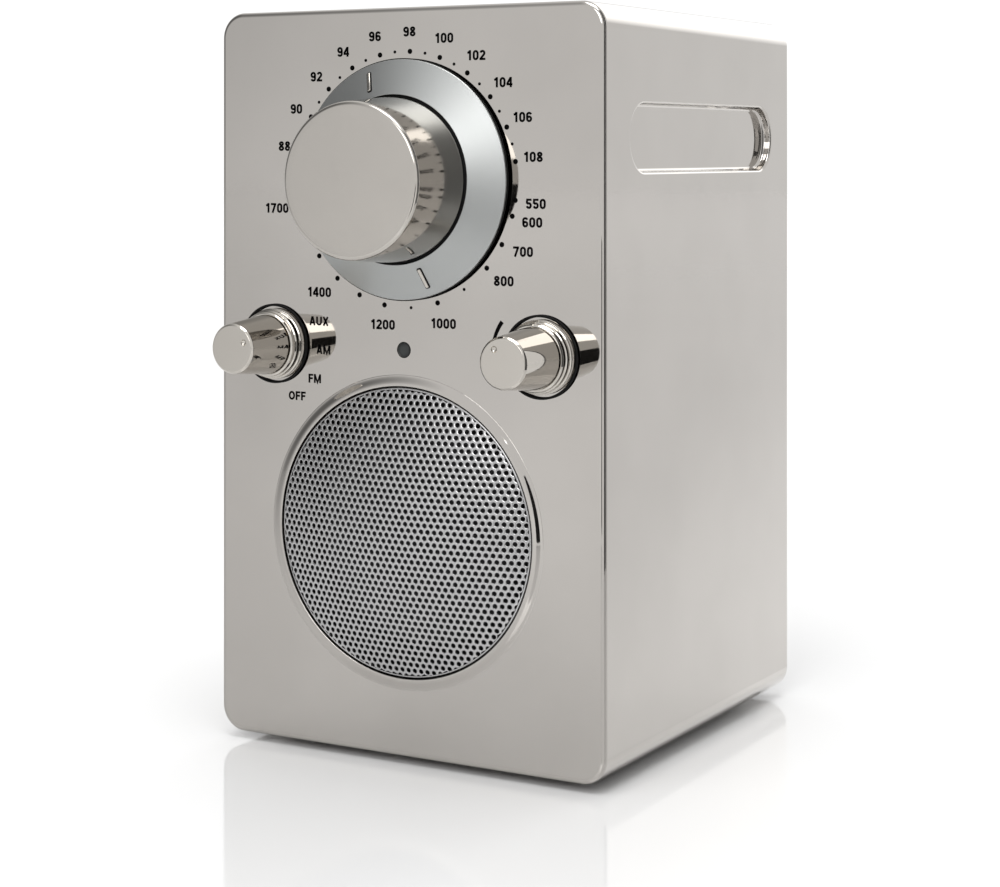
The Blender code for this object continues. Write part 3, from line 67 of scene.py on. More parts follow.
GRIP = {"length": 0.0750, "height": 0.0142, "depth": 0.0022, "floor": 0.0009, "lip": 0.0006, "z": 0.1313}
TUNER = (0.0, 0.1226)
SELECTOR = (-0.0325, 0.0869)
VOLUME = (0.0325, 0.0869)
LAMP = (0.0, 0.0869)
SPEAKER = (0.0, 0.0487)
APERTURE = 0.0306
BEZEL_OUTER = 0.0330
BEZEL_RISE = 0.00045
BEZEL_SEAT = 0.0318
ANTENNA = (0.0310, 0.05545, 0.1436)
OUT = Vector((0.0, -1.0, 0.0))
BACK = Vector((0.0, 1.0, 0.0))
COVER_FACE = 0.0483
ROUND = 128
FINE_ROUND = 160
SMALL_ROUND = 72
INK = 0.00004
LEVEL = 0.99999
WELD = 1e-7
SLIVER = 1e-5
CUTTER_REACH = 0.002
TUNER_HOLE = 0.0080
CONTROL_HOLE = 0.0042
LAMP_HOLE = 0.0017
LETTER_TALL = 0.0021
WORD_TALL = 0.0019


class Wire:
    """A socket of a node, so that shader maths reads as plain expressions."""

    def __init__(self, graph, socket):
        self.graph = graph
        self.socket = socket

    def maths(self, operation, *terms):
        values = dict(enumerate(terms))
        return self.graph.node("ShaderNodeMath", {"operation": operation}, values, 0)

    def __add__(self, other):
        return self.maths("ADD", self, other)

    def __radd__(self, other):
        return self.maths("ADD", other, self)

    def __sub__(self, other):
        return self.maths("SUBTRACT", self, other)

    def __rsub__(self, other):
        return self.maths("SUBTRACT", other, self)

    def __mul__(self, other):
        return self.maths("MULTIPLY", self, other)

    def __rmul__(self, other):
        return self.maths("MULTIPLY", other, self)

    def sine(self):
        return self.maths("SINE", self)


class Graph:
    """A node tree, with one way to add any node."""

    def __init__(self, tree):
        self.tree = tree

    def node(self, kind, settings, values, output):
        made = self.tree.nodes.new(kind)
        for key, value in settings.items():
            setattr(made, key, value)
        for key, value in values.items():
            if isinstance(value, Wire):
                self.tree.links.new(value.socket, made.inputs[key])
            else:
                made.inputs[key].default_value = value
        return Wire(self, made.outputs[output])

    def ramp(self, wire, low, high, to_low=0.0, to_high=1.0):
        values = {"Value": wire, "From Min": low, "From Max": high, "To Min": to_low, "To Max": to_high}
        return self.node("ShaderNodeMapRange", {"clamp": True}, values, "Result")


class Finish(Graph):
    """One material, built from nodes."""

    def __init__(self, name, **even):
        self.material = bpy.data.materials.new(name)
        self.material.use_nodes = True
        super().__init__(self.material.node_tree)
        self.shader = self.tree.nodes["Principled BSDF"]
        for socket, value in even.items():
            self.shader.inputs[socket.replace("_", " ").title().replace("Ior", "IOR")].default_value = value
        self.place = self.node("ShaderNodeTexCoord", {}, {}, "Object")

    def feed(self, socket, wire):
        self.tree.links.new(wire.socket, self.shader.inputs[socket])

    def noise(self, size, detail=2.0, rough=0.5, place=None):
        """Soft mottling whose patches are about this size, from 0 to 1."""
        values = {"Vector": place or self.place, "Scale": 1.0 / size, "Detail": detail, "Roughness": rough}
        return self.node("ShaderNodeTexNoise", {}, values, "Fac")

    def stretched(self, x, y, z):
        """The place on the object, drawn out by these factors."""
        return self.node("ShaderNodeVectorMath", {"operation": "MULTIPLY"}, {0: self.place, 1: (x, y, z)}, 0)

    def blend(self, mask, first, second):
        """A colour between two colours."""
        values = {0: mask, 6: first, 7: second}
        return self.node("ShaderNodeMix", {"data_type": "RGBA"}, values, 2)

    def bump(self, height, strength, depth):
        values = {"Height": height, "Strength": strength, "Distance": depth}
        self.feed("Normal", self.node("ShaderNodeBump", {}, values, "Normal"))

    def axial(self, centre):
        """Distance from an axis that runs front to back through this point."""
        apart = self.node("ShaderNodeVectorMath", {"operation": "SUBTRACT"},
                          {0: self.place, 1: (centre[0], 0.0, centre[1])}, 0)
        flat = self.node("ShaderNodeVectorMath", {"operation": "MULTIPLY"}, {0: apart, 1: (1.0, 0.0, 1.0)}, 0)
        return self.node("ShaderNodeVectorMath", {"operation": "LENGTH"}, {0: flat}, "Value")


def rgb(red, green, blue):
    return (red, green, blue, 1.0)


def plated(name, bright, dull, roughness, waver):
    """Mirror plating: handling marks in its gloss and a trace of unevenness in its reflection."""
    finish = Finish(name, metallic=1.0)
    cloud = finish.noise(0.030, 3.0)
    smear = finish.noise(0.006, 4.0, 0.6)
    speck = finish.noise(0.0006, 2.0)
    finish.feed("Base Color", finish.blend(finish.ramp(cloud, 0.35, 0.68), bright, dull))
    marks = finish.ramp(smear, 0.52, 0.75) * 0.05
    finish.feed("Roughness", roughness + marks + finish.ramp(speck, 0.62, 0.75) * 0.03)
    finish.bump(finish.noise(0.022, 1.0) + finish.noise(0.007, 1.0) * 0.15, waver, 0.0004)
    return finish.material


def satin_dial():
    """Blasted satin silver, with a trace of the lathe's rings under the frost."""
    finish = Finish("satin_silver_dial", metallic=1.0)
    ring = finish.axial(TUNER)
    turned = finish.noise(0.00012, 2.0, 0.6, finish.node("ShaderNodeCombineXYZ", {}, {"X": ring}, 0))
    frost = finish.noise(0.00016, 2.0, 0.6)
    cloud = finish.noise(0.012, 2.0)
    colour = finish.blend(frost * 0.4 + cloud * 0.6, rgb(0.355, 0.364, 0.359), rgb(0.395, 0.404, 0.399))
    finish.feed("Base Color", colour)
    finish.feed("Roughness", 0.37 + frost * 0.08)
    finish.bump(frost * 0.7 + turned * 0.3, 0.08, 0.00003)
    return finish.material


def perforated_sheet():
    """Rolled silver sheet with a fine dull grain."""
    finish = Finish("silver_sheet", metallic=0.9)
    grain = finish.noise(0.00025, 3.0, 0.6)
    cloud = finish.noise(0.009, 2.0)
    finish.feed("Base Color", finish.blend(cloud, rgb(0.41, 0.41, 0.415), rgb(0.465, 0.46, 0.46)))
    finish.feed("Roughness", 0.22 + grain * 0.08)
    finish.bump(grain, 0.06, 0.00003)
    return finish.material


def bare_metal(name, light, dark, roughness, grain_size=0.0004, metallic=1.0):
    finish = Finish(name, metallic=metallic)
    grain = finish.noise(grain_size, 3.0, 0.6)
    cloud = finish.noise(0.008, 2.0)
    finish.feed("Base Color", finish.blend(cloud * 0.6 + grain * 0.4, light, dark))
    finish.feed("Roughness", roughness + grain * 0.12)
    finish.bump(grain, 0.08, 0.00004)
    return finish.material


def moulded(name, light, dark, roughness, grain_size=0.0005, depth=0.00006, gloss=0.5):
    """Moulded plastic or rubber with a fine spark-eroded grain and rubbed patches."""
    finish = Finish(name, metallic=0.0, specular_ior_level=gloss)
    grain = finish.noise(grain_size, 3.0, 0.65)
    worn = finish.ramp(finish.noise(0.010, 4.0, 0.6), 0.55, 0.75)
    finish.feed("Base Color", finish.blend(worn * 0.6 + grain * 0.4, dark, light))
    finish.feed("Roughness", roughness + grain * 0.12 - worn * 0.08)
    finish.bump(grain, 0.25, depth)
    return finish.material


def woven(name, light, dark, thread):
    """Cloth or pulp: crossing threads with a loose fibre over them."""
    finish = Finish(name, metallic=0.0, roughness=0.85)
    warp = finish.noise(thread, 1.0, 0.5, finish.stretched(1.0, 1.0, 0.2))
    weft = finish.noise(thread, 1.0, 0.5, finish.stretched(0.2, 1.0, 1.0))
    weave = (warp + weft) * 0.5
    finish.feed("Base Color", finish.blend(finish.ramp(weave, 0.35, 0.65), dark, light))
    finish.bump(weave, 0.4, 0.00015)
    return finish.material


def wound_wire(name, light, dark, pitch, axis):
    """Enamelled wire lying in turns, with painted shade darkening the grooves between them."""
    finish = Finish(name, metallic=0.9)
    parts = finish.node("ShaderNodeSeparateXYZ", {}, {0: finish.place}, axis)
    turns = (parts * (2.0 * math.pi / pitch)).sine() * 0.5 + 0.5
    fleck = finish.noise(0.0015, 2.0)
    # Light on the crown of each turn and dark between turns: painted shade in the grooves.
    finish.feed("Base Color", finish.blend(turns * 0.7 + fleck * 0.3, dark, light))
    finish.feed("Roughness", 0.28 + fleck * 0.15)
    finish.bump(turns, 0.6, pitch * 0.3)
    return finish.material


def printed_ink():
    finish = Finish("black_ink", metallic=0.0, specular_ior_level=0.0)
    fleck = finish.noise(0.0003, 2.0)
    finish.feed("Base Color", finish.blend(fleck, rgb(0.002, 0.002, 0.002), rgb(0.005, 0.005, 0.005)))
    finish.feed("Roughness", 0.40 + fleck * 0.15)
    return finish.material


def smoked_lens():
    finish = Finish("smoked_lens", metallic=0.0, ior=1.40)
    # The lens darkens towards its rim: painted shade where it sinks into its hole.
    rim = finish.ramp(finish.axial(LAMP), 0.0006, 0.0014)
    fleck = finish.noise(0.0006, 2.0)
    finish.feed("Base Color", finish.blend(rim, rgb(0.034, 0.037, 0.036), rgb(0.018, 0.020, 0.020)))
    finish.feed("Roughness", 0.45 + fleck * 0.12)
    return finish.material


def studio_floor():
    finish = Finish("pale_floor", metallic=0.0, ior=1.60, emission_strength=1.0)
    cloud = finish.noise(0.20, 2.0)
    finish.feed("Base Color", finish.blend(cloud, rgb(0.79, 0.79, 0.79), rgb(0.82, 0.82, 0.82)))
    finish.feed("Roughness", 0.07 + cloud * 0.03)
    reach = finish.node("ShaderNodeVectorMath", {"operation": "LENGTH"}, {0: finish.place}, "Value")
    far = finish.ramp(reach, 0.2, 0.9)
    finish.feed("Emission Color", finish.blend(far, rgb(0.0, 0.0, 0.0), rgb(0.06, 0.06, 0.06)))
    return finish.material


CHROME = plated("polished_chrome", rgb(0.455, 0.434, 0.409), rgb(0.428, 0.408, 0.384), 0.035, 0.05)
KNOB_CHROME = plated("knob_chrome", rgb(0.500, 0.474, 0.434), rgb(0.470, 0.445, 0.408), 0.04, 0.03)
TUNER_CHROME = plated("handled_chrome", rgb(0.460, 0.437, 0.404), rgb(0.432, 0.410, 0.380), 0.09, 0.03)
SATIN = satin_dial()
SHEET = perforated_sheet()
INK_BLACK = printed_ink()
LENS = smoked_lens()
FINISHES = {
    "chrome_body": CHROME,
    "chrome_knob": KNOB_CHROME,
    "satin_silver": SATIN,
    "silver_mesh": SHEET,
    "steel": bare_metal("plated_steel", rgb(0.55, 0.55, 0.56), rgb(0.42, 0.42, 0.44), 0.25),
    "brass": bare_metal("turned_brass", rgb(0.74, 0.57, 0.29), rgb(0.58, 0.43, 0.20), 0.24),
    "copper": wound_wire("copper_wire", rgb(0.72, 0.34, 0.18), rgb(0.34, 0.14, 0.07), 0.0005, 0),
    "black_rubber": moulded("black_rubber", rgb(0.010, 0.010, 0.010), rgb(0.004, 0.004, 0.004), 0.60,
                            gloss=0.15),
    "black_plastic": moulded("black_plastic", rgb(0.045, 0.045, 0.046), rgb(0.022, 0.022, 0.023), 0.38),
    "white_nylon": moulded("white_nylon", rgb(0.80, 0.79, 0.74), rgb(0.70, 0.69, 0.63), 0.40),
    "dark_lens": LENS,
    "cone_paper": woven("cone_paper", rgb(0.035, 0.035, 0.037), rgb(0.012, 0.012, 0.013), 0.0006),
    "spider_cloth": woven("spider_cloth", rgb(0.62, 0.46, 0.22), rgb(0.40, 0.28, 0.12), 0.0005),
    "green_board": moulded("green_board", rgb(0.06, 0.24, 0.11), rgb(0.03, 0.14, 0.06), 0.30, 0.0003),
    "ferrite": moulded("pressed_ferrite", rgb(0.10, 0.10, 0.105), rgb(0.045, 0.045, 0.05), 0.50, 0.0003),
    "blue_sleeve": moulded("blue_sleeve", rgb(0.11, 0.16, 0.38), rgb(0.07, 0.10, 0.26), 0.22, 0.0012),
}


def placed(name, data):
    """A new object in the scene that holds this data."""
    made = bpy.data.objects.new(name, data)
    bpy.context.scene.collection.objects.link(made)
    return made


def piece(name, mesh, finish, body=None, stands_for=(), even=True):
    """Put a mesh into the scene as a named piece with its finish."""
    made = placed(name, mesh)
    mesh.materials.clear()
    mesh.materials.append(finish)
    for face in mesh.polygons:
        face.use_smooth = max(abs(part) for part in face.normal) < LEVEL
    if even:
        made.modifiers.new("even_normals", "WEIGHTED_NORMAL").weight = 100
    if body:
        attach(made, body)
    if stands_for:
        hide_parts(*stands_for)
    return made


def mesh_of(name, build):
    """A mesh from a function that fills a bmesh, with its faces turned outwards."""
    work = bmesh.new()
    build(work)
    bmesh.ops.recalc_face_normals(work, faces=work.faces)
    mesh = bpy.data.meshes.new(name)
    work.to_mesh(mesh)
    work.free()
    return mesh


def across(axis):
    """Two directions square to an axis."""
    first = Vector((1.0, 0.0, 0.0)) if abs(axis.x) < 0.5 else Vector((0.0, 0.0, 1.0))
    second = axis.cross(first)
    return first, second


def rounded(points, radii, steps=5):
    """A profile with its corners rounded, each by its own radius."""
    turned = []
    last = len(points) - 1
    for k, (here, radius) in enumerate(zip(points, radii)):
        if radius <= 0.0 or k in (0, last):
            turned.append(here)
            continue
        spot = Vector(here)
        before = (Vector(points[k - 1]) - spot).normalized()
        after = (Vector(points[k + 1]) - spot).normalized()
        half = before.angle(after) / 2
        reach = radius / math.tan(half)
        middle = spot + (before + after).normalized() * (radius / math.sin(half))
        start = spot + before * reach - middle
        end = spot + after * reach - middle
        swing = math.atan2(start.x * end.y - start.y * end.x, start.dot(end))
        base = math.atan2(start.y, start.x)
        for step in range(steps + 1):
            angle = base + swing * step / steps
            turned.append((middle.x + radius * math.cos(angle), middle.y + radius * math.sin(angle)))
    return turned


def lathe(work, profile, centre, axis, steps, ring=False):
    """Turn a profile of radius and height round an axis; its ends are capped, or a ring closes on itself."""
    first, second = across(axis)
    rows = []
    for radius, height in profile:
        middle = centre + axis * height
        if radius < WELD:
            rows.append([work.verts.new(middle)] * steps)
            continue
        row = []
        for k in range(steps):
            angle = 2 * math.pi * k / steps
            spot = middle + first * (radius * math.cos(angle)) + second * (radius * math.sin(angle))
            row.append(work.verts.new(spot))
        rows.append(row)
    pairs = list(zip(rows, rows[1:]))
    if ring:
        pairs.append((rows[-1], rows[0]))
    else:
        for row, (radius, height) in ((rows[0], profile[0]), (rows[-1], profile[-1])):
            if radius >= WELD:
                work.faces.new(row)
    for low, high in pairs:
        for k in range(steps):
            after = (k + 1) % steps
            corners = list(dict.fromkeys((low[k], low[after], high[after], high[k])))
            if len(corners) > 2:
                work.faces.new(corners)


def front_point(spot):
    return Vector((spot[0], FRONT_Y, spot[1]))


def turned_piece(name, profile, centre, axis, steps, finish, body, node, ring=False):
    """A lathe-turned piece that stands for one node, or for none."""
    mesh = mesh_of(name, lambda work: lathe(work, profile, centre, axis, steps, ring))
    piece(name, mesh, finish, body, (node,) if node else ())


def rounded_outline(width, height, radius, steps):
    """Corner points of a rounded rectangle about the origin, anticlockwise."""
    points = []
    for x, z, start in ((1, 1, 0), (-1, 1, 90), (-1, -1, 180), (1, -1, 270)):
        for k in range(steps + 1):
            angle = math.radians(start + 90 * k / steps)
            points.append((x * (width / 2 - radius) + radius * math.cos(angle),
                           z * (height / 2 - radius) + radius * math.sin(angle)))
    return points


def loft(work, rings):
    """A closed skin through rings of points, capped at both ends."""
    rows = [[work.verts.new(point) for point in ring] for ring in rings]
    count = len(rows[0])
    for low, high in zip(rows, rows[1:]):
        for k in range(count):
            after = (k + 1) % count
            work.faces.new((low[k], low[after], high[after], high[k]))
    work.faces.new(rows[0])
    work.faces.new(rows[-1])


def carve(mesh, cutters):
    """Cut a mesh with others and give the result as a new mesh."""
    body = placed("blank", mesh)
    tools = [placed("tool", cutter) for cutter in cutters]
    for tool in tools:
        cut = body.modifiers.new("cut", "BOOLEAN")
        cut.object = tool
        cut.solver = "EXACT"
    seen = bpy.context.evaluated_depsgraph_get()
    result = bpy.data.meshes.new_from_object(body.evaluated_get(seen))
    work = bmesh.new()
    work.from_mesh(result)
    bmesh.ops.remove_doubles(work, verts=work.verts, dist=WELD)
    bmesh.ops.dissolve_degenerate(work, edges=work.edges, dist=WELD)
    work.to_mesh(result)
    work.free()
    for made in tools + [body]:
        bpy.data.objects.remove(made)
    return result


def quarter(radius, steps):
    """Inset and depth along a rounded edge, from its face to its side."""
    turn = [math.pi / 2 * k / steps for k in range(steps + 1)]
    return [(radius * (1 - math.sin(a)), radius * (1 - math.cos(a))) for a in turn]


def cabinet_outline(inset, y):
    flat = rounded_outline(WIDTH - 2 * inset, HEIGHT - 2 * inset, CORNER - inset, 14)
    return [(x, y, z + UNDER + HEIGHT / 2) for x, z in flat]


def cabinet_blank(work):
    rings = [cabinet_outline(inset, FRONT_Y + depth) for inset, depth in quarter(FRONT_EDGE, 12)]
    rings += [cabinet_outline(inset, REAR_Y - depth) for inset, depth in reversed(quarter(REAR_EDGE, 12))]
    loft(work, rings)


def cabinet_hollow(work):
    flat = rounded_outline(WIDTH - 2 * WALL, HEIGHT - 2 * WALL, CORNER - WALL, 6)
    loft(work, [[(x, y, z + UNDER + HEIGHT / 2) for x, z in flat] for y in (FRONT_Y + WALL, 2 * REAR_Y)])


def grip_cutter(side):
    """The shallow grip in one side wall: a rolled lip, a short wall and a filleted floor."""
    lip = GRIP["lip"]
    floor = GRIP["floor"]
    rolled = [k * math.pi / 12 for k in range(1, 7)]
    filleted = [k * math.pi / 16 for k in range(9)]
    profile = [(lip, -CUTTER_REACH), (lip, 0.0)]
    profile += [(lip - lip * math.sin(a), lip - lip * math.cos(a)) for a in rolled]
    profile += [(-floor * (1 - math.cos(a)), GRIP["depth"] - floor * (1 - math.sin(a))) for a in filleted]
    face = WIDTH / 2

    def build(work):
        rings = []
        for spread, sink in profile:
            flat = rounded_outline(GRIP["length"] + 2 * spread, GRIP["height"] + 2 * spread,
                                   GRIP["height"] / 2 + spread - SLIVER, 24)
            rings.append([(side * (face - sink), y, z + GRIP["z"]) for y, z in flat])
        loft(work, rings)
    return mesh_of("grip", build)


def hole_cutter(spot, radius, steps=SMALL_ROUND):
    profile = [(0.0, CUTTER_REACH), (radius, CUTTER_REACH), (radius, -2 * WALL), (0.0, -2 * WALL)]
    return mesh_of("hole", lambda work: lathe(work, profile, front_point(spot), OUT, steps))


def build_bezel():
    """The raised lip round the speaker, swept up from the front in one soft curve."""
    edge = 0.00015
    steps = 16
    crest = APERTURE + 2 * edge
    profile = [(APERTURE, -WALL), (APERTURE, BEZEL_RISE - edge)]
    profile += [(APERTURE + edge * (1 - math.cos(a)), BEZEL_RISE - edge * (1 - math.sin(a)))
                for a in (k * math.pi / 12 for k in range(1, 7))]
    for k in range(steps + 1):
        share = k / steps
        fall = 0.5 + 0.5 * math.cos(math.pi * share)
        profile.append((crest + (BEZEL_OUTER - crest) * share, BEZEL_RISE * fall))
    profile += [(BEZEL_OUTER, -INK), (BEZEL_SEAT - INK, -INK), (BEZEL_SEAT - INK, -WALL)]
    turned_piece("speaker_bezel", profile, front_point(SPEAKER), OUT, FINE_ROUND, CHROME, "cabinet_body",
                 None, ring=True)


def build_cabinet():
    cutters = [mesh_of("hollow", cabinet_hollow), grip_cutter(1), grip_cutter(-1),
               hole_cutter(SPEAKER, BEZEL_SEAT, FINE_ROUND), hole_cutter(TUNER, TUNER_HOLE),
               hole_cutter(SELECTOR, CONTROL_HOLE), hole_cutter(VOLUME, CONTROL_HOLE),
               hole_cutter(LAMP, LAMP_HOLE)]
    mesh = carve(mesh_of("cabinet_shell", cabinet_blank), cutters)
    piece("cabinet_shell", mesh, CHROME, "cabinet_body", ("cabinet",), even=False)


DIAL_INNER = 0.0177
DIAL_TOP = 0.0046
DIAL_WELL = 0.0006
DIAL_RIM = 0.0252
DIAL_RIM_TOP = 0.0015
DIAL_SEAM = 0.0011
DIAL_UNDER = 0.0008
SEAM_GAP = 0.0001
# How far the black carrier reaches past the dial's rim: a painted shadow for the dark gap under the dial.
PAINTED_SHADOW_RIM = 0.0002
HUB = {"bore": 0.0035, "radius": 0.0056, "back": -0.0050}
POINTER_ANGLE = 108.0
POINTER_PLACE = 0.0214
POINTER_LENGTH = 0.0044
POINTER_WIDTH = 0.0008
POINTER_RISE = 0.0004
POINTER_EDGE = 0.0002
POINTER_SUNK = 0.0003
# Thin black frames round the pointer bars: painted shadow at the bars' sides.
POINTER_SHADOW = 0.00022
POINTER_SHADOW_RISE = 0.00003
POINTER_SHADOW_EDGE = 0.00002
KNOB = {"crown": 0.0140, "face": 0.0161, "skirt": 0.0173, "hollow_foot": 0.0151, "hollow_top": 0.0139,
        "boss": 0.0055, "bore": 0.0034, "top": 0.0213, "foot": 0.0049, "ceiling": 0.0190, "bore_end": 0.0188}


def pointer_bar(work, angle, length, width, rise, edge):
    """A small bar with rounded edges, lying on the slope of the dial."""
    out = Vector((math.cos(angle), 0.0, math.sin(angle)))
    side = Vector((-math.sin(angle), 0.0, math.cos(angle)))
    slope = math.atan2(DIAL_TOP - DIAL_RIM_TOP, DIAL_RIM - DIAL_INNER)
    along = out * math.cos(slope) - OUT * math.sin(slope)
    up = out * math.sin(slope) + OUT * math.cos(slope)
    level = DIAL_RIM_TOP + (DIAL_RIM - POINTER_PLACE) * math.tan(slope)
    centre = front_point(TUNER) + out * POINTER_PLACE + OUT * level
    corner = width * 0.35

    def ring(inset, lift):
        flat = rounded_outline(length - 2 * inset, width - 2 * inset, corner - inset / 2, 5)
        return [centre + along * a + side * b + up * lift for a, b in flat]
    rings = [ring(0.0, -POINTER_SUNK)]
    rings += [ring(inset, rise - depth) for inset, depth in reversed(quarter(edge, 4))]
    loft(work, rings)


def pointer_turns():
    return [math.radians(POINTER_ANGLE + turn) for turn in (0.0, 180.0)]


def build_tuner():
    """The conical dial on its black carrier, its two pointer bars and the hollow knob; the carrier's ring
    past the dial's rim and the black frames round the bars are painted shadow.
    """
    spot = front_point(TUNER)
    cone = [(DIAL_INNER, DIAL_SEAM), (DIAL_INNER, DIAL_TOP), (DIAL_RIM, DIAL_RIM_TOP), (DIAL_RIM, DIAL_SEAM)]
    cone_edges = (0.0, 0.00012, 0.0003, 0.0)
    turned_piece("dial_cone", rounded(cone, cone_edges), spot, OUT, ROUND, SATIN, "dial",
                 "dial_plate", ring=True)
    well = DIAL_TOP - DIAL_WELL
    inner = DIAL_INNER - SEAM_GAP
    seam = DIAL_SEAM - SEAM_GAP
    # The carrier's ring past the dial's rim is painted shadow of the gap under the dial; the rest is a black
    # backing.
    rim = DIAL_RIM + PAINTED_SHADOW_RIM
    carrier = [(HUB["bore"], well), (inner, well), (inner, seam), (rim, seam), (rim, DIAL_UNDER),
               (HUB["radius"], DIAL_UNDER), (HUB["radius"], HUB["back"]), (HUB["bore"], HUB["back"])]

    def black_parts(work):
        lathe(work, carrier, spot, OUT, ROUND, ring=True)
        # Black frames under the pointer bars, a painted shadow round each.
        for angle in pointer_turns():
            pointer_bar(work, angle, POINTER_LENGTH + 2 * POINTER_SHADOW, POINTER_WIDTH + 2 * POINTER_SHADOW,
                        POINTER_SHADOW_RISE, POINTER_SHADOW_EDGE)

    def bright_bars(work):
        for angle in pointer_turns():
            pointer_bar(work, angle, POINTER_LENGTH, POINTER_WIDTH, POINTER_RISE, POINTER_EDGE)
    piece("dial_carrier_and_painted_shadows", mesh_of("dial_carrier_and_painted_shadows", black_parts), FINISHES["black_rubber"], "dial")
    piece("dial_pointers", mesh_of("dial_pointers", bright_bars), KNOB_CHROME, "dial")
    knob = [(KNOB["crown"], KNOB["top"]), (KNOB["face"], KNOB["top"]), (KNOB["skirt"], KNOB["foot"]),
            (KNOB["hollow_foot"], KNOB["foot"]), (KNOB["hollow_top"], KNOB["ceiling"]),
            (KNOB["boss"], KNOB["ceiling"]), (KNOB["boss"], KNOB["foot"]), (KNOB["bore"], KNOB["foot"]),
            (KNOB["bore"], KNOB["bore_end"])]
    radii = (0.0, 0.0009, 0.0003, 0.0002, 0.0005, 0.0002, 0.0002, 0.0, 0.0)
    turned_piece("tuning_knob_cap", rounded(knob, radii, 9), spot, OUT, FINE_ROUND, TUNER_CHROME, "tuning",
                 "tuning_knob")


GASKET = {"inner": 0.0081, "outer": 0.0086, "low": 0.0003, "high": 0.0007}
COLLAR_BORE = 0.0041
COLLAR_STEP = 0.00032
CAP = {"crown": 0.0046, "face": 0.0049, "shoulder": 0.0053, "chamfer": 0.0004, "skirt": 0.0064,
       "bore": 0.0030, "roof": 0.0034}
DIMPLE_PLACE = 0.0033
DIMPLE_RADIUS = 0.0007
DIMPLE_DEPTH = 0.0005
SELECTOR_DIMPLE = 25.0
VOLUME_DIMPLE = 125.6


def build_control(name, spot_2d, angle):
    """A small knob with a dimple at this angle, its stepped collar and the rubber ring under it."""
    spot = front_point(spot_2d)
    ring = [(GASKET["inner"], GASKET["low"]), (GASKET["outer"], GASKET["low"]),
            (GASKET["outer"], GASKET["high"]), (GASKET["inner"], GASKET["high"])]
    turned_piece(f"{name}_rubber_ring", rounded(ring, (0.0, 0.0001, 0.00015, 0.0)), spot, OUT, SMALL_ROUND,
                 FINISHES["black_rubber"], "cabinet_body", f"{name}_gasket", ring=True)
    low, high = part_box(f"{name}_collar")
    outer = (high[0] - low[0]) / 2
    rise = FRONT_Y - low[1]
    step = COLLAR_STEP
    third = (rise - GAP) / 3
    collar = [(COLLAR_BORE, rise), (outer - 3 * step, rise), (outer - 2 * step, rise - step),
              (outer - 2 * step, GAP + 2 * third), (outer - step, GAP + 2 * third - step / 2),
              (outer - step, GAP + third), (outer, GAP + third - step / 2), (outer, GAP), (COLLAR_BORE, GAP)]
    radii = [0.0, 0.00015, 0.00015, 0.00008, 0.0001, 0.00008, 0.0001, 0.0, 0.0]
    turned_piece(f"{name}_stepped_collar", rounded(collar, radii), spot, OUT, SMALL_ROUND, KNOB_CHROME,
                 "cabinet_body", f"{name}_collar", ring=True)
    low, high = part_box(f"{name}_knob")
    base = FRONT_Y - high[1]
    top = FRONT_Y - low[1]
    profile = [(CAP["crown"], top), (CAP["face"], top), (CAP["shoulder"], top - CAP["chamfer"]),
               (CAP["skirt"], base), (CAP["bore"], base), (CAP["bore"], top - CAP["roof"])]
    cap = rounded(profile, (0.0, 0.0002, 0.0002, 0.0002, 0.0001, 0.0))
    blank = mesh_of(f"{name}_knob_cap", lambda work: lathe(work, cap, spot, OUT, SMALL_ROUND))
    turn = math.radians(angle)
    dent = spot + Vector((DIMPLE_PLACE * math.cos(turn), -top, DIMPLE_PLACE * math.sin(turn)))
    bowl = [(DIMPLE_RADIUS * math.sin(a), -DIMPLE_DEPTH * math.cos(a))
            for a in (k * math.pi / 16 for k in range(9))]
    bowl += [(DIMPLE_RADIUS, DIMPLE_DEPTH), (0.0, DIMPLE_DEPTH)]
    dimple = mesh_of("dimple", lambda work: lathe(work, bowl, dent, OUT, 24))
    piece(f"{name}_knob_cap", carve(blank, [dimple]), KNOB_CHROME, name, (f"{name}_knob",))


LENS_CROWN = ((0.0, 0.0002), (0.0007, 0.00017), (0.0013, 0.00008), (0.0016, -0.0001))
LENS_RADIUS = 0.0016
LENS_FLANGE = 0.00245
LENS_SEAT = -0.0033
LENS_BACK = -0.0043


def build_lamp():
    profile = [*LENS_CROWN, (LENS_RADIUS, LENS_SEAT), (LENS_FLANGE, LENS_SEAT), (LENS_FLANGE, LENS_BACK),
               (0.0, LENS_BACK)]
    turned_piece("lamp_lens", profile, front_point(LAMP), OUT, 48, LENS, "cabinet_body",
                 "indicator_lens")


HOLE_PITCH = 0.00150
HOLE_RADIUS = 0.00050
HOLE_EDGE = 0.00004
HOLE_SIDES = 12
CELL_WELD = 1e-6
SHEET_THICK = 0.0003
SHEET_REACH = 0.0299
SHEET_BEND = 0.0003
PAN_RADIUS = 0.0303
PAN_EDGE = 0.0001
PAN_DOME = 0.0045
FLANGE_RADIUS = 0.0336
FLANGE_LEVEL = -0.0033
FLANGE_BACK = -0.0041


def sheet_level(reach):
    return PAN_EDGE + PAN_DOME * (1 - (reach / PAN_RADIUS) ** 2)


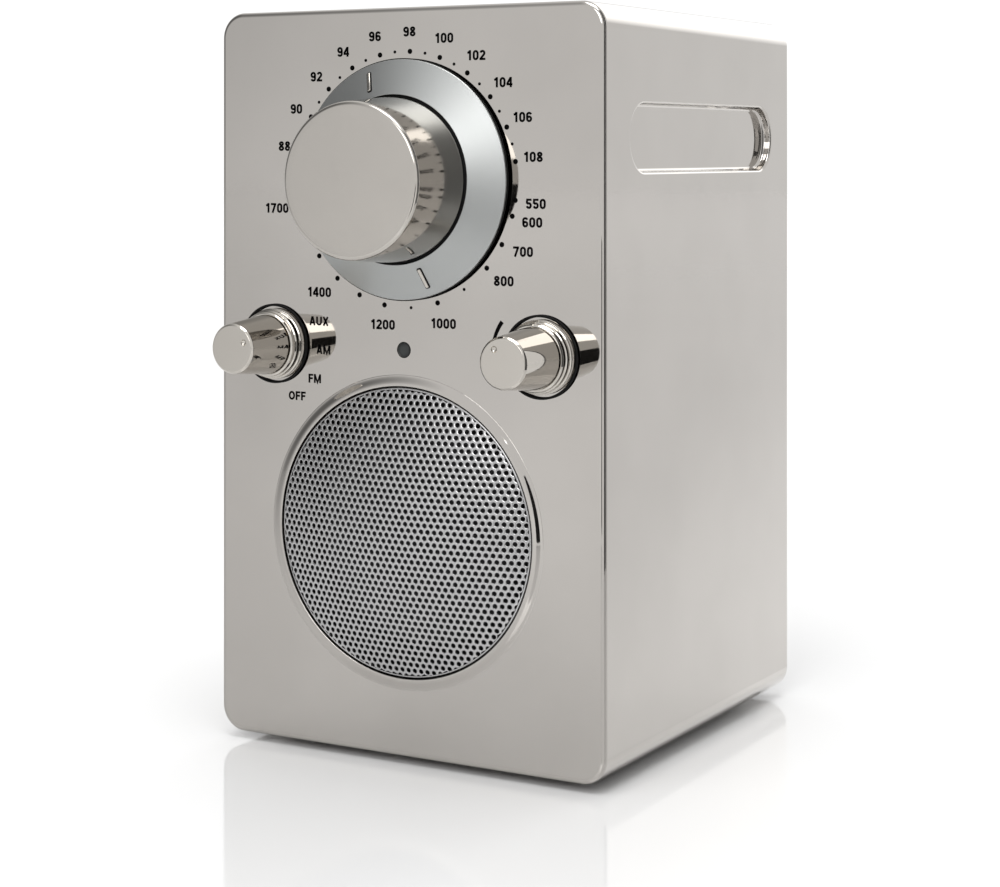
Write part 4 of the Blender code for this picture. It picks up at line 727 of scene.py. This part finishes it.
def punched_cell(work, x, z, corner):
    """One six-sided cell of the sheet round its hole, cut off where the sheet bends back."""
    rings = []
    for spread, sink in ((None, 0.0), (HOLE_RADIUS + HOLE_EDGE, 0.0), (HOLE_RADIUS, HOLE_EDGE),
                         (HOLE_RADIUS, SHEET_THICK)):
        points = []
        for k in range(HOLE_SIDES):
            angle = 2 * math.pi * k / HOLE_SIDES + math.pi / 6
            reach = spread or (corner if k % 2 == 0 else corner * math.sqrt(3) / 2)
            flat = Vector((x + reach * math.cos(angle), z + reach * math.sin(angle)))
            if flat.length > SHEET_REACH:
                flat = flat.normalized() * SHEET_REACH
            lift = sheet_level(flat.length) - sink
            points.append(work.verts.new((SPEAKER[0] + flat.x, FRONT_Y - lift, SPEAKER[1] + flat.y)))
        rings.append(points)
    for outer, inner in zip(rings, rings[1:]):
        for k in range(HOLE_SIDES):
            after = (k + 1) % HOLE_SIDES
            work.faces.new((outer[k], outer[after], inner[after], inner[k]))


def build_grille():
    """Punched sheet: cells side by side on a dome, with a bent edge and a flange behind the panel."""
    def build(work):
        row_step = HOLE_PITCH * math.sqrt(3) / 2
        rows = int(SHEET_REACH / row_step) + 1
        columns = int(SHEET_REACH / HOLE_PITCH) + 1
        for row in range(-rows, rows + 1):
            for column in range(-columns, columns + 1):
                x = (column + (0.5 if row % 2 else 0.0)) * HOLE_PITCH
                z = row * row_step
                if math.hypot(x, z) < SHEET_REACH + HOLE_RADIUS / 2:
                    punched_cell(work, x, z, HOLE_PITCH / math.sqrt(3))
        bmesh.ops.remove_doubles(work, verts=work.verts, dist=CELL_WELD)
        bmesh.ops.dissolve_degenerate(work, edges=work.edges, dist=CELL_WELD)
        edge = sheet_level(SHEET_REACH)
        bend = [(SHEET_REACH, edge), (PAN_RADIUS, edge), (PAN_RADIUS, FLANGE_LEVEL),
                (FLANGE_RADIUS, FLANGE_LEVEL), (FLANGE_RADIUS, FLANGE_BACK), (SHEET_REACH, FLANGE_BACK)]
        bent = rounded(bend, (0.0, SHEET_BEND, 0.0, 0.0, 0.0, 0.0))
        lathe(work, bent, front_point(SPEAKER), OUT, FINE_ROUND, ring=True)
    piece("grille_sheet", mesh_of("grille_sheet", build), SHEET, "cabinet_body",
          ("speaker_grille",))


ROLL_INNER = 0.0259
ROLL_LAP = 0.0244
ROLL_OUTER = 0.0303
ROLL_RISE = 0.0016
ROLL_THICK = 0.0005
ROLL_LEVEL = -0.0062
SECTORS = 12


def build_surround_roll():
    """The rubber roll round the cone, in sectors, each a rolled arc from the frame to the cone."""
    middle = (ROLL_INNER + ROLL_OUTER) / 2
    half = (ROLL_OUTER - ROLL_INNER) / 2
    bends = [math.pi * k / 14 for k in range(15)]
    over = [(middle - half * math.cos(a), ROLL_LEVEL + ROLL_RISE * math.sin(a)) for a in bends]
    back = ROLL_LEVEL - ROLL_THICK
    under = [(middle + (half - ROLL_THICK) * math.cos(a), back + ROLL_RISE * math.sin(a)) for a in bends]
    profile = [(ROLL_LAP, ROLL_LEVEL)] + over + [(FLANGE_RADIUS, ROLL_LEVEL), (FLANGE_RADIUS, back)] + under
    profile.append((ROLL_LAP, back))
    centre = front_point(SPEAKER)
    first, second = across(OUT)

    def way(turns):
        angle = 2 * math.pi * turns / SECTORS
        return first * math.cos(angle) + second * math.sin(angle)
    for k in range(SECTORS):
        rings = [[centre + way(k + step / 8) * radius + OUT * height for radius, height in profile]
                 for step in range(9)]
        mesh = mesh_of(f"surround_roll_{k + 1}", lambda work: loft(work, rings))
        made = piece(f"surround_roll_{k + 1}", mesh, FINISHES["black_rubber"], even=False)
        start = centre + way(k + 0.5) * ROLL_OUTER + OUT * ROLL_LEVEL
        end = centre + way(k + 0.5) * ROLL_INNER + OUT * ROLL_LEVEL
        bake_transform(made)
        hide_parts("speaker_surround")


STROKE = 0.22
LETTER_SPACE = 0.11


def bow(middle, wide, tall, start, end, steps=14):
    """Points along part of an ellipse, with angles in degrees."""
    turns = [math.radians(start + (end - start) * k / steps) for k in range(steps + 1)]
    return [(middle[0] + wide * math.cos(a), middle[1] + tall * math.sin(a)) for a in turns]


def tall_loop(width):
    """The closed stroke of a nought: two half ellipses with straight sides between them."""
    half = STROKE / 2
    wide = width / 2 - half
    top = bow((width / 2, 0.66), wide, 0.34 - half, 0, 180)
    return top + bow((width / 2, 0.34), wide, 0.34 - half, 180, 360)


def glyph_strokes(mark):
    """Width of a character and its strokes, each with whether it closes on itself, in parts of its height."""
    half = STROKE / 2
    width = {"1": 0.58, "A": 0.80, "M": 0.94, "F": 0.62, "O": 0.84, "U": 0.76, "X": 0.78}.get(mark, 0.65)
    middle = width / 2
    wide = middle - half
    right = width - half
    six = [(bow((middle, 0.32), wide, 0.32 - half, 0, 360)[:-1], True),
           (bow((middle, 0.70), wide, 0.30 - half, 15, 180) + [(half, 0.32)], False)]
    strokes = {
        "0": [(tall_loop(width), True)],
        "1": [([(0.38, 0.0), (0.38, 1.0)], False), ([(0.09, 0.74), (0.24, 0.78), (0.38, 0.93)], False)],
        "2": [(bow((middle, 0.69), wide, 0.31 - half, 170, -35) + [(half, half + 0.02)], False),
              ([(0.0, half), (width, half)], False)],
        "3": [(bow((middle, 0.73), wide - 0.02, 0.27 - half, 165, -85), False),
              (bow((middle, 0.30), wide, 0.30 - half, 85, -165), False)],
        "4": [([(0.47, 0.0), (0.47, 1.0)], False), ([(0.44, 0.93), (0.06, 0.32)], False),
              ([(0.0, 0.29), (width, 0.29)], False)],
        "5": [([(width - 0.03, 1.0 - half), (0.15, 1.0 - half), (0.11, 0.50)], False),
              (bow((middle, 0.33), wide, 0.33 - half, 145, -165), False)],
        "6": six,
        "7": [([(0.0, 1.0 - half), (width, 1.0 - half)], False), ([(right, 1.0 - half), (0.20, 0.0)], False)],
        "8": [(bow((middle, 0.745), wide - 0.03, 0.255 - half, 0, 360)[:-1], True),
              (bow((middle, 0.28), wide, 0.28 - half, 0, 360)[:-1], True)],
        "9": [([(width - x, 1.0 - y) for x, y in path], closed) for path, closed in six],
        "A": [([(half, 0.0), (middle - 0.02, 1.0)], False), ([(middle + 0.02, 1.0), (right, 0.0)], False),
              ([(0.22, 0.29), (width - 0.22, 0.29)], False)],
        "F": [([(half, 0.0), (half, 1.0)], False), ([(half, 1.0 - half), (width, 1.0 - half)], False),
              ([(half, 0.50), (width - 0.06, 0.50)], False)],
        "M": [([(half, 0.0), (half, 1.0)], False), ([(right, 0.0), (right, 1.0)], False),
              ([(half, 0.97), (middle, 0.06), (right, 0.97)], False)],
        "O": [(bow((middle, 0.5), wide, 0.5 - half, 0, 360, 28)[:-1], True)],
        "U": [([(half, 1.0)] + bow((middle, 0.36), wide, 0.36 - half, 180, 360) + [(right, 1.0)], False)],
        "X": [([(half, 0.0), (right, 1.0)], False), ([(half, 1.0), (right, 0.0)], False)],
    }
    return width, strokes[mark]


def ink_ribbon(work, path, closed, width):
    """A flat stroke of ink along a path on the front, square at its ends."""
    count = len(path)
    rows = []
    for k, here in enumerate(path):
        before = Vector(path[k - 1] if k or closed else here)
        after = Vector(path[(k + 1) % count] if k < count - 1 or closed else here)
        spot = Vector(here)
        ways = [way.normalized() for way in (spot - before, after - spot) if way.length > 0.0]
        along = sum(ways, Vector((0.0, 0.0))).normalized()
        spread = width / 2 / max(0.5, along.dot(ways[0]))
        side = Vector((-along.y, along.x)) * spread
        corners = [(spot + side, INK), (spot - side, INK), (spot - side, -INK / 4), (spot + side, -INK / 4)]
        rows.append([work.verts.new((flat.x, FRONT_Y - lift, flat.y)) for flat, lift in corners])
    pairs = list(zip(rows, rows[1:]))
    if closed:
        pairs.append((rows[-1], rows[0]))
    for low, high in pairs:
        for k in range(4):
            after = (k + 1) % 4
            work.faces.new((low[k], low[after], high[after], high[k]))
    if not closed:
        work.faces.new(rows[0])
        work.faces.new(rows[-1])


def letters(work, text, spot, tall):
    """Printed characters of this height, centred on a point of the front."""
    glyphs = [glyph_strokes(mark) for mark in text]
    reach = sum(width for width, strokes in glyphs) + LETTER_SPACE * (len(text) - 1)
    left = -reach / 2
    for width, strokes in glyphs:
        for path, closed in strokes:
            placed = [(spot[0] + (left + x) * tall, spot[1] + (y - 0.5) * tall) for x, y in path]
            ink_ribbon(work, placed, closed, STROKE * tall)
        left += width + LETTER_SPACE


def ink_dot(work, spot, radius):
    profile = [(0.0, INK), (radius, INK), (radius, -INK / 4)]
    lathe(work, profile, front_point(spot), OUT, 20)


def round_tuner(angle, radius):
    """A point on the front at this clock angle from the top of the dial."""
    turn = math.radians(angle)
    return (TUNER[0] + radius * math.sin(turn), TUNER[1] + radius * math.cos(turn))


FM_MIDDLE = 98
FM_TURN = 3.2
FM_STEP = 7.9
FM_SQUEEZE = 0.004
FM_LABEL_PLACE = 0.0310
FM_LABEL_TURN = 0.7
DOT_PLACE = 0.02685
LARGE_DOT = 0.00055
SMALL_DOT = 0.00033
AM_SCALE = ((550, 98.7, True), (600, 105.8, True), (700, 119.3, True), (800, 132.2, True),
            (900, 147.2, False), (1000, 162.2, True), (1100, 176.2, False), (1200, 190.2, True),
            (1300, 204.1, True), (1400, 218.0, True), (1500, 232.1, True), (1600, 246.0, True),
            (1700, 259.0, True))
AM_LABELS = {550: (98.6, 0.0316), 600: (105.6, 0.0316), 700: (117.1, 0.0318), 800: (130.8, 0.0315),
             1000: (162.2, 0.0313), 1200: (189.7, 0.0310), 1400: (221.2, 0.0322), 1700: (258.8, 0.0328)}
SELECTOR_MARKS = (("AUX", 25.0), ("AM", -4.0), ("FM", -35.0), ("OFF", -63.0))
WORD_PLACE = 0.0124
SWEEP = {"place": 0.0113, "start": 143, "turn": 72, "half": 0.00045, "taper": 0.00033, "steps": 24}


def fm_angle(megahertz):
    off = megahertz - FM_MIDDLE
    return FM_TURN + FM_STEP * off - FM_SQUEEZE * off * off


def build_print():
    """The dial scale and the words round the selector, printed on the front."""
    def build(work):
        for megahertz in range(88, 109):
            angle = fm_angle(megahertz)
            even = megahertz % 2 == 0
            ink_dot(work, round_tuner(angle, DOT_PLACE), LARGE_DOT if even else SMALL_DOT)
            if even:
                label = round_tuner(angle - FM_LABEL_TURN, FM_LABEL_PLACE)
                letters(work, str(megahertz), label, LETTER_TALL)
        for kilohertz, angle, large in AM_SCALE:
            ink_dot(work, round_tuner(angle, DOT_PLACE), LARGE_DOT if large else SMALL_DOT)
            if kilohertz in AM_LABELS:
                letters(work, str(kilohertz), round_tuner(*AM_LABELS[kilohertz]), LETTER_TALL)
        for word, angle in SELECTOR_MARKS:
            turn = math.radians(angle)
            spot = (SELECTOR[0] + WORD_PLACE * math.cos(turn), SELECTOR[1] + WORD_PLACE * math.sin(turn))
            letters(work, word, spot, WORD_TALL)
        volume_sweep(work)
    piece("dial_print", mesh_of("dial_print", build), INK_BLACK, "cabinet_body")


def volume_sweep(work):
    """A tapering arc beside the volume control, thick end first."""
    rows = []
    for k in range(SWEEP["steps"] + 1):
        angle = math.radians(SWEEP["start"] + SWEEP["turn"] * k / SWEEP["steps"])
        half = SWEEP["half"] - SWEEP["taper"] * k / SWEEP["steps"]
        row = []
        for radius in (SWEEP["place"] - half, SWEEP["place"] + half):
            x = VOLUME[0] + radius * math.cos(angle)
            z = VOLUME[1] + radius * math.sin(angle)
            row.append(work.verts.new((x, FRONT_Y - INK, z)))
        rows.append(row)
    for low, high in zip(rows, rows[1:]):
        work.faces.new((low[0], low[1], high[1], high[0]))


SCREW_CROWN = ((0.0, 0.0), (0.0009, -0.00003), (0.0015, -0.00014), (0.0020, -0.0004), (0.00225, -0.0008))
SCREW_HEAD = 0.0023
SCREW_HEAD_DEPTH = 0.0014
SCREW_SHANK = 0.0014
RECESS_TURN = 0.4
RECESS_MOUTH = (0.0026, 0.00062, 0.0004)
RECESS_FLOOR = (0.0012, 0.00040, -0.0010)


def build_screw(name):
    """A pan-head screw with a crossed recess, its head to the back."""
    low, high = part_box(name)
    seat = Vector(((low[0] + high[0]) / 2, high[1], (low[2] + high[2]) / 2))
    length = high[1] - low[1]
    head = [*SCREW_CROWN, (SCREW_HEAD, -SCREW_HEAD_DEPTH), (SCREW_SHANK, -SCREW_HEAD_DEPTH),
            (SCREW_SHANK, -length), (0.0, -length)]
    blank = mesh_of(f"{name}_head", lambda work: lathe(work, head, seat, BACK, 40))

    def slot(turn):
        along = Vector((math.cos(turn), 0.0, math.sin(turn)))
        side = Vector((-math.sin(turn), 0.0, math.cos(turn)))

        def build(work):
            rings = []
            for reach, width, height in (RECESS_MOUTH, RECESS_FLOOR):
                flat = rounded_outline(reach, width, width / 4, 3)
                rings.append([seat + along * a + side * b + BACK * height for a, b in flat])
            loft(work, rings)
        return mesh_of("slot", build)
    mesh = carve(blank, [slot(RECESS_TURN), slot(RECESS_TURN + math.pi / 2)])
    piece(f"{name}_head", mesh, FINISHES["steel"], "cabinet_body", (name,))


LINING_WALL = 0.0005
LINING_GAP = 0.00002
MOUTH_CHAMFER = 0.0004
JACK_NECK = 0.0036
JACK_NECK_DEPTH = 0.0028
JACK_RADIUS = 0.0052
JACK_FLOOR = 0.002
CONTACT_FLOOR = 0.0022
PIN_NOSE = -0.0026
PIN_NOSE_EDGE = -0.0027
PIN_SHOULDER = -0.0034
PHONE_BORE = 0.0018
POWER_BORE = 0.0028
POWER_PIN = 0.0010


def build_jack(name, bore, pin):
    """A socket with a chamfered mouth and a metal lining, and a pin where it takes power."""
    low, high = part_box(name)
    mouth = Vector(((low[0] + high[0]) / 2, COVER_FACE, (low[2] + high[2]) / 2))
    floor = low[1] - COVER_FACE
    lining = bore + LINING_WALL
    contact_end = floor + CONTACT_FLOOR
    body = [(lining, -MOUTH_CHAMFER), (lining + MOUTH_CHAMFER, 0.0), (JACK_NECK, 0.0),
            (JACK_NECK, -JACK_NECK_DEPTH), (JACK_RADIUS, -JACK_NECK_DEPTH), (JACK_RADIUS, floor),
            (0.0, floor), (0.0, floor + JACK_FLOOR), (lining, floor + JACK_FLOOR)]
    corners = (0.0, 0.0001, 0.0002, 0.0, 0.0003, 0.0003, 0.0, 0.0, 0.0)
    turned_piece(f"{name}_body", rounded(body, corners), mouth, BACK, 48, FINISHES["black_plastic"],
                 "cabinet_body", name, ring=True)
    skin = lining - LINING_GAP
    tube = [(bore, -MOUTH_CHAMFER), (skin, -MOUTH_CHAMFER), (skin, contact_end), (bore, contact_end)]

    def metal(work):
        lathe(work, rounded(tube, (0.0, 0.0001, 0.0, 0.0)), mouth, BACK, 48, ring=True)
        if pin:
            shaft = [(0.0, PIN_NOSE), (pin * 0.6, PIN_NOSE_EDGE), (pin, PIN_SHOULDER), (pin, contact_end),
                     (0.0, contact_end)]
            lathe(work, shaft, mouth, BACK, 24)
    piece(f"{name}_contact", mesh_of(f"{name}_contact", metal), FINISHES["steel"], "cabinet_body")


SLEEVE = {"bore": 0.0028, "radius": 0.0033, "far": 0.0610, "near": 0.0110, "plug": 0.0118}
LUG_RADIUS = 0.00315
LUG_REACH = 0.0112
LUG_HALF = 0.0019
EYE_RADIUS = 0.0015
EYE_REACH = 0.01
BUSH = {"bore": 0.0025, "neck": 0.0035, "flange": 0.0060, "rise": 0.0018, "back": -0.0028}
SECTION_WALL = 0.0005
SECTION_PLUG = 0.0008
SECTIONS = (("antenna_middle", 0.0025, "antenna_second"), ("antenna_inner", 0.0017, "antenna_third"))
TIP = {"rod": 0.0009, "cap": 0.0030, "cap_length": 0.005}


def antenna_sleeve(pivot, away):
    """The outer tube with its flat lug on the pin."""
    tube = [(SLEEVE["bore"], SLEEVE["far"]), (SLEEVE["radius"], SLEEVE["far"]),
            (SLEEVE["radius"], SLEEVE["near"]), (0.0, SLEEVE["near"]), (0.0, SLEEVE["plug"]),
            (SLEEVE["bore"], SLEEVE["plug"])]
    turns = [math.radians(90 + 180 * k / 24) for k in range(25)]
    outline = [(LUG_RADIUS * math.cos(a), LUG_RADIUS * math.sin(a)) for a in turns]
    outline += [(LUG_REACH, -LUG_RADIUS), (LUG_REACH, LUG_RADIUS)]

    def flat(work):
        loft(work, [[pivot + away * a + BACK * b + Vector((0.0, 0.0, z)) for a, b in outline]
                    for z in (-LUG_HALF, LUG_HALF)])
    upright = Vector((0.0, 0.0, 1.0))
    hole = [(0.0, -EYE_REACH), (EYE_RADIUS, -EYE_REACH), (EYE_RADIUS, EYE_REACH), (0.0, EYE_REACH)]
    eye = mesh_of("eye", lambda work: lathe(work, hole, pivot, upright, 32))
    lug = carve(mesh_of("lug", flat), [eye])

    def build(work):
        lathe(work, rounded(tube, (0.0, 0.0002, 0.0005, 0.0, 0.0, 0.0)), pivot, away, 48, ring=True)
        work.from_mesh(lug)
    piece("antenna_sleeve", mesh_of("antenna_sleeve", build), KNOB_CHROME, "antenna_arm",
          ("antenna_tube",))


def build_antenna():
    """Polished telescopic sections lying along the back, and the bush they turn on."""
    pivot = Vector(ANTENNA)
    away = Vector((-1.0, 0.0, 0.0))
    bush = [(BUSH["bore"], BUSH["rise"]), (BUSH["flange"], BUSH["rise"]), (BUSH["flange"], GAP),
            (BUSH["neck"], GAP), (BUSH["neck"], BUSH["back"]), (BUSH["bore"], BUSH["back"])]
    turned_piece("antenna_collar", rounded(bush, (0.0, 0.0004, 0.0, 0.0, 0.0, 0.0)),
                 Vector((pivot.x, COVER_FACE, pivot.z)), BACK, 64, KNOB_CHROME, "cabinet_body",
                 "antenna_bush", ring=True)
    antenna_sleeve(pivot, away)
    for node, radius, body in SECTIONS:
        low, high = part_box(node)
        near = pivot.x - high[0]
        far = pivot.x - low[0]
        bore = radius - SECTION_WALL
        profile = [(0.0, near), (radius, near), (radius, far), (bore, far), (bore, near + SECTION_PLUG),
                   (0.0, near + SECTION_PLUG)]
        rounding = (0.0, 0.0001, 0.0002, 0.0001, 0.0, 0.0)
        turned_piece(f"{node}_section", rounded(profile, rounding), pivot, away, 40, KNOB_CHROME, body,
                     node)
    low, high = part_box("antenna_tip")
    near = pivot.x - high[0]
    far = pivot.x - low[0]
    neck = far - TIP["cap_length"]
    profile = [(0.0, near), (TIP["rod"], near), (TIP["rod"], neck), (TIP["cap"], neck), (TIP["cap"], far),
               (0.0, far)]
    rounding = (0.0, 0.0001, 0.0001, 0.0006, 0.0009, 0.0)
    turned_piece("antenna_tip_cap", rounded(profile, rounding), pivot, away, 40, KNOB_CHROME,
                 "antenna_fourth", "antenna_tip")


def dress_solids():
    """Give every solid that still shows the finish of its material slot."""
    slots = {row["node"]: row["material_slot"] for row in frame["record"]["subparts"]}
    for name, made in frame["nodes"].items():
        finish = FINISHES[slots[name]]
        made.data.materials.clear()
        made.data.materials.append(finish)


def board(name, size, finish):
    """A flat rectangle of the studio, which is no part of the object."""
    half = (size[0] / 2, size[1] / 2)
    corners = [(-half[0], -half[1], 0), (half[0], -half[1], 0), (half[0], half[1], 0), (-half[0], half[1], 0)]
    mesh = bpy.data.meshes.new(name)
    mesh.from_pydata(corners, [], [(0, 1, 2, 3)])
    mesh.materials.append(finish)
    made = placed(name, mesh)
    return made


def stand(made, place, aim, axis):
    """Put a card or lamp at a place, with this axis of it towards a point, unseen by the camera."""
    made.location = place
    made.rotation_euler = (Vector(aim) - Vector(place)).to_track_quat(axis, "Y").to_euler()
    made.visible_camera = False


def card(name, size, place, aim, finish):
    made = board(name, size, finish)
    stand(made, place, aim, "Z")
    made.visible_shadow = False


def lamp(name, size, place, aim, power):
    data = bpy.data.lights.new(name, "AREA")
    data.shape = "RECTANGLE"
    data.size, data.size_y = size
    data.energy = power
    stand(placed(name, data), place, aim, "-Z")


DIM_SIDE = (-0.85, -0.32, 0.42)
DIM_BY = 0.86
BRIGHT_SIDE = (0.078, 0.895, 0.438)
BRIGHT_BY = 1.4
SURROUND_GLOW = 1.08
FLOOR_SIZE = 12.0
CAMERA_PLACE = (0.2467, -0.4556, 0.1287)
CAMERA_TURN = 30.65
CAMERA_LENS = 81.69
CAMERA_SHIFT = (0.0718, -0.2931)


def build_surround():
    """A white surround, dim on the upper left to shade the turned metal and bright behind."""
    world = bpy.data.worlds.new("studio")
    world.use_nodes = True
    bpy.context.scene.world = world
    bpy.context.scene.view_settings.view_transform = "Standard"
    graph = Graph(world.node_tree)
    towards = graph.node("ShaderNodeTexCoord", {}, {}, "Generated")

    def facing(side):
        aim = Vector(side).normalized()
        return graph.node("ShaderNodeVectorMath", {"operation": "DOT_PRODUCT"}, {0: towards, 1: aim}, "Value")
    dim = graph.ramp(facing(DIM_SIDE), 0.72, 0.95) * DIM_BY
    bright = graph.ramp(facing(BRIGHT_SIDE), 0.90, 0.97) * BRIGHT_BY
    glow = SURROUND_GLOW - dim + bright
    sky = world.node_tree.nodes["Background"]
    sky.inputs["Color"].default_value = rgb(1.0, 1.0, 1.0)
    world.node_tree.links.new(glow.socket, sky.inputs["Strength"])


def build_studio():
    """The floor, the cards and lamps round the object, and the camera."""
    board("floor", (FLOOR_SIZE, FLOOR_SIZE), studio_floor())
    build_surround()
    black = moulded("black_card", rgb(0.010, 0.010, 0.010), rgb(0.006, 0.006, 0.006), 0.9)
    grey = moulded("grey_card", rgb(0.16, 0.16, 0.16), rgb(0.12, 0.12, 0.12), 0.9)
    card("side_card", (0.11, 0.50), (0.248, -0.134, 0.25), (0.047, -0.045, 0.25), grey)
    card("far_card", (0.094, 0.50), (0.265, -0.014, 0.25), (0.047, -0.045, 0.25), black)
    card("front_card", (0.08, 0.10), (0.090, -0.340, 0.052), (0.010, -0.05, 0.08), black)
    lamp("front_box", (0.36, 0.36), (0.17, -0.78, 0.46), (0.0, -0.05, 0.11), 1.5)
    lamp("top_box", (0.55, 0.45), (0.12, -0.28, 0.95), (0.0, -0.05, 0.10), 4.0)
    camera = bpy.data.cameras.new("camera")
    camera.sensor_width = 36.0
    camera.lens = CAMERA_LENS
    camera.shift_x, camera.shift_y = CAMERA_SHIFT
    camera.clip_start = 0.01
    eye = placed("camera", camera)
    eye.location = CAMERA_PLACE
    eye.rotation_euler = (math.pi / 2, 0.0, math.radians(CAMERA_TURN))
    bpy.context.scene.camera = eye


dress_solids()
build_cabinet()
build_bezel()
build_tuner()
build_control("selector", SELECTOR, SELECTOR_DIMPLE)
build_control("volume", VOLUME, VOLUME_DIMPLE)
build_lamp()
build_grille()
build_surround_roll()
build_print()
build_antenna()
for screw_name in ("cover_screw_1", "cover_screw_2", "cover_screw_3", "cover_screw_4", "door_screw"):
    build_screw(screw_name)
build_jack("headphone_jack", PHONE_BORE, 0.0)
build_jack("aux_jack", PHONE_BORE, 0.0)
build_jack("dc_jack", POWER_BORE, POWER_PIN)
build_studio()
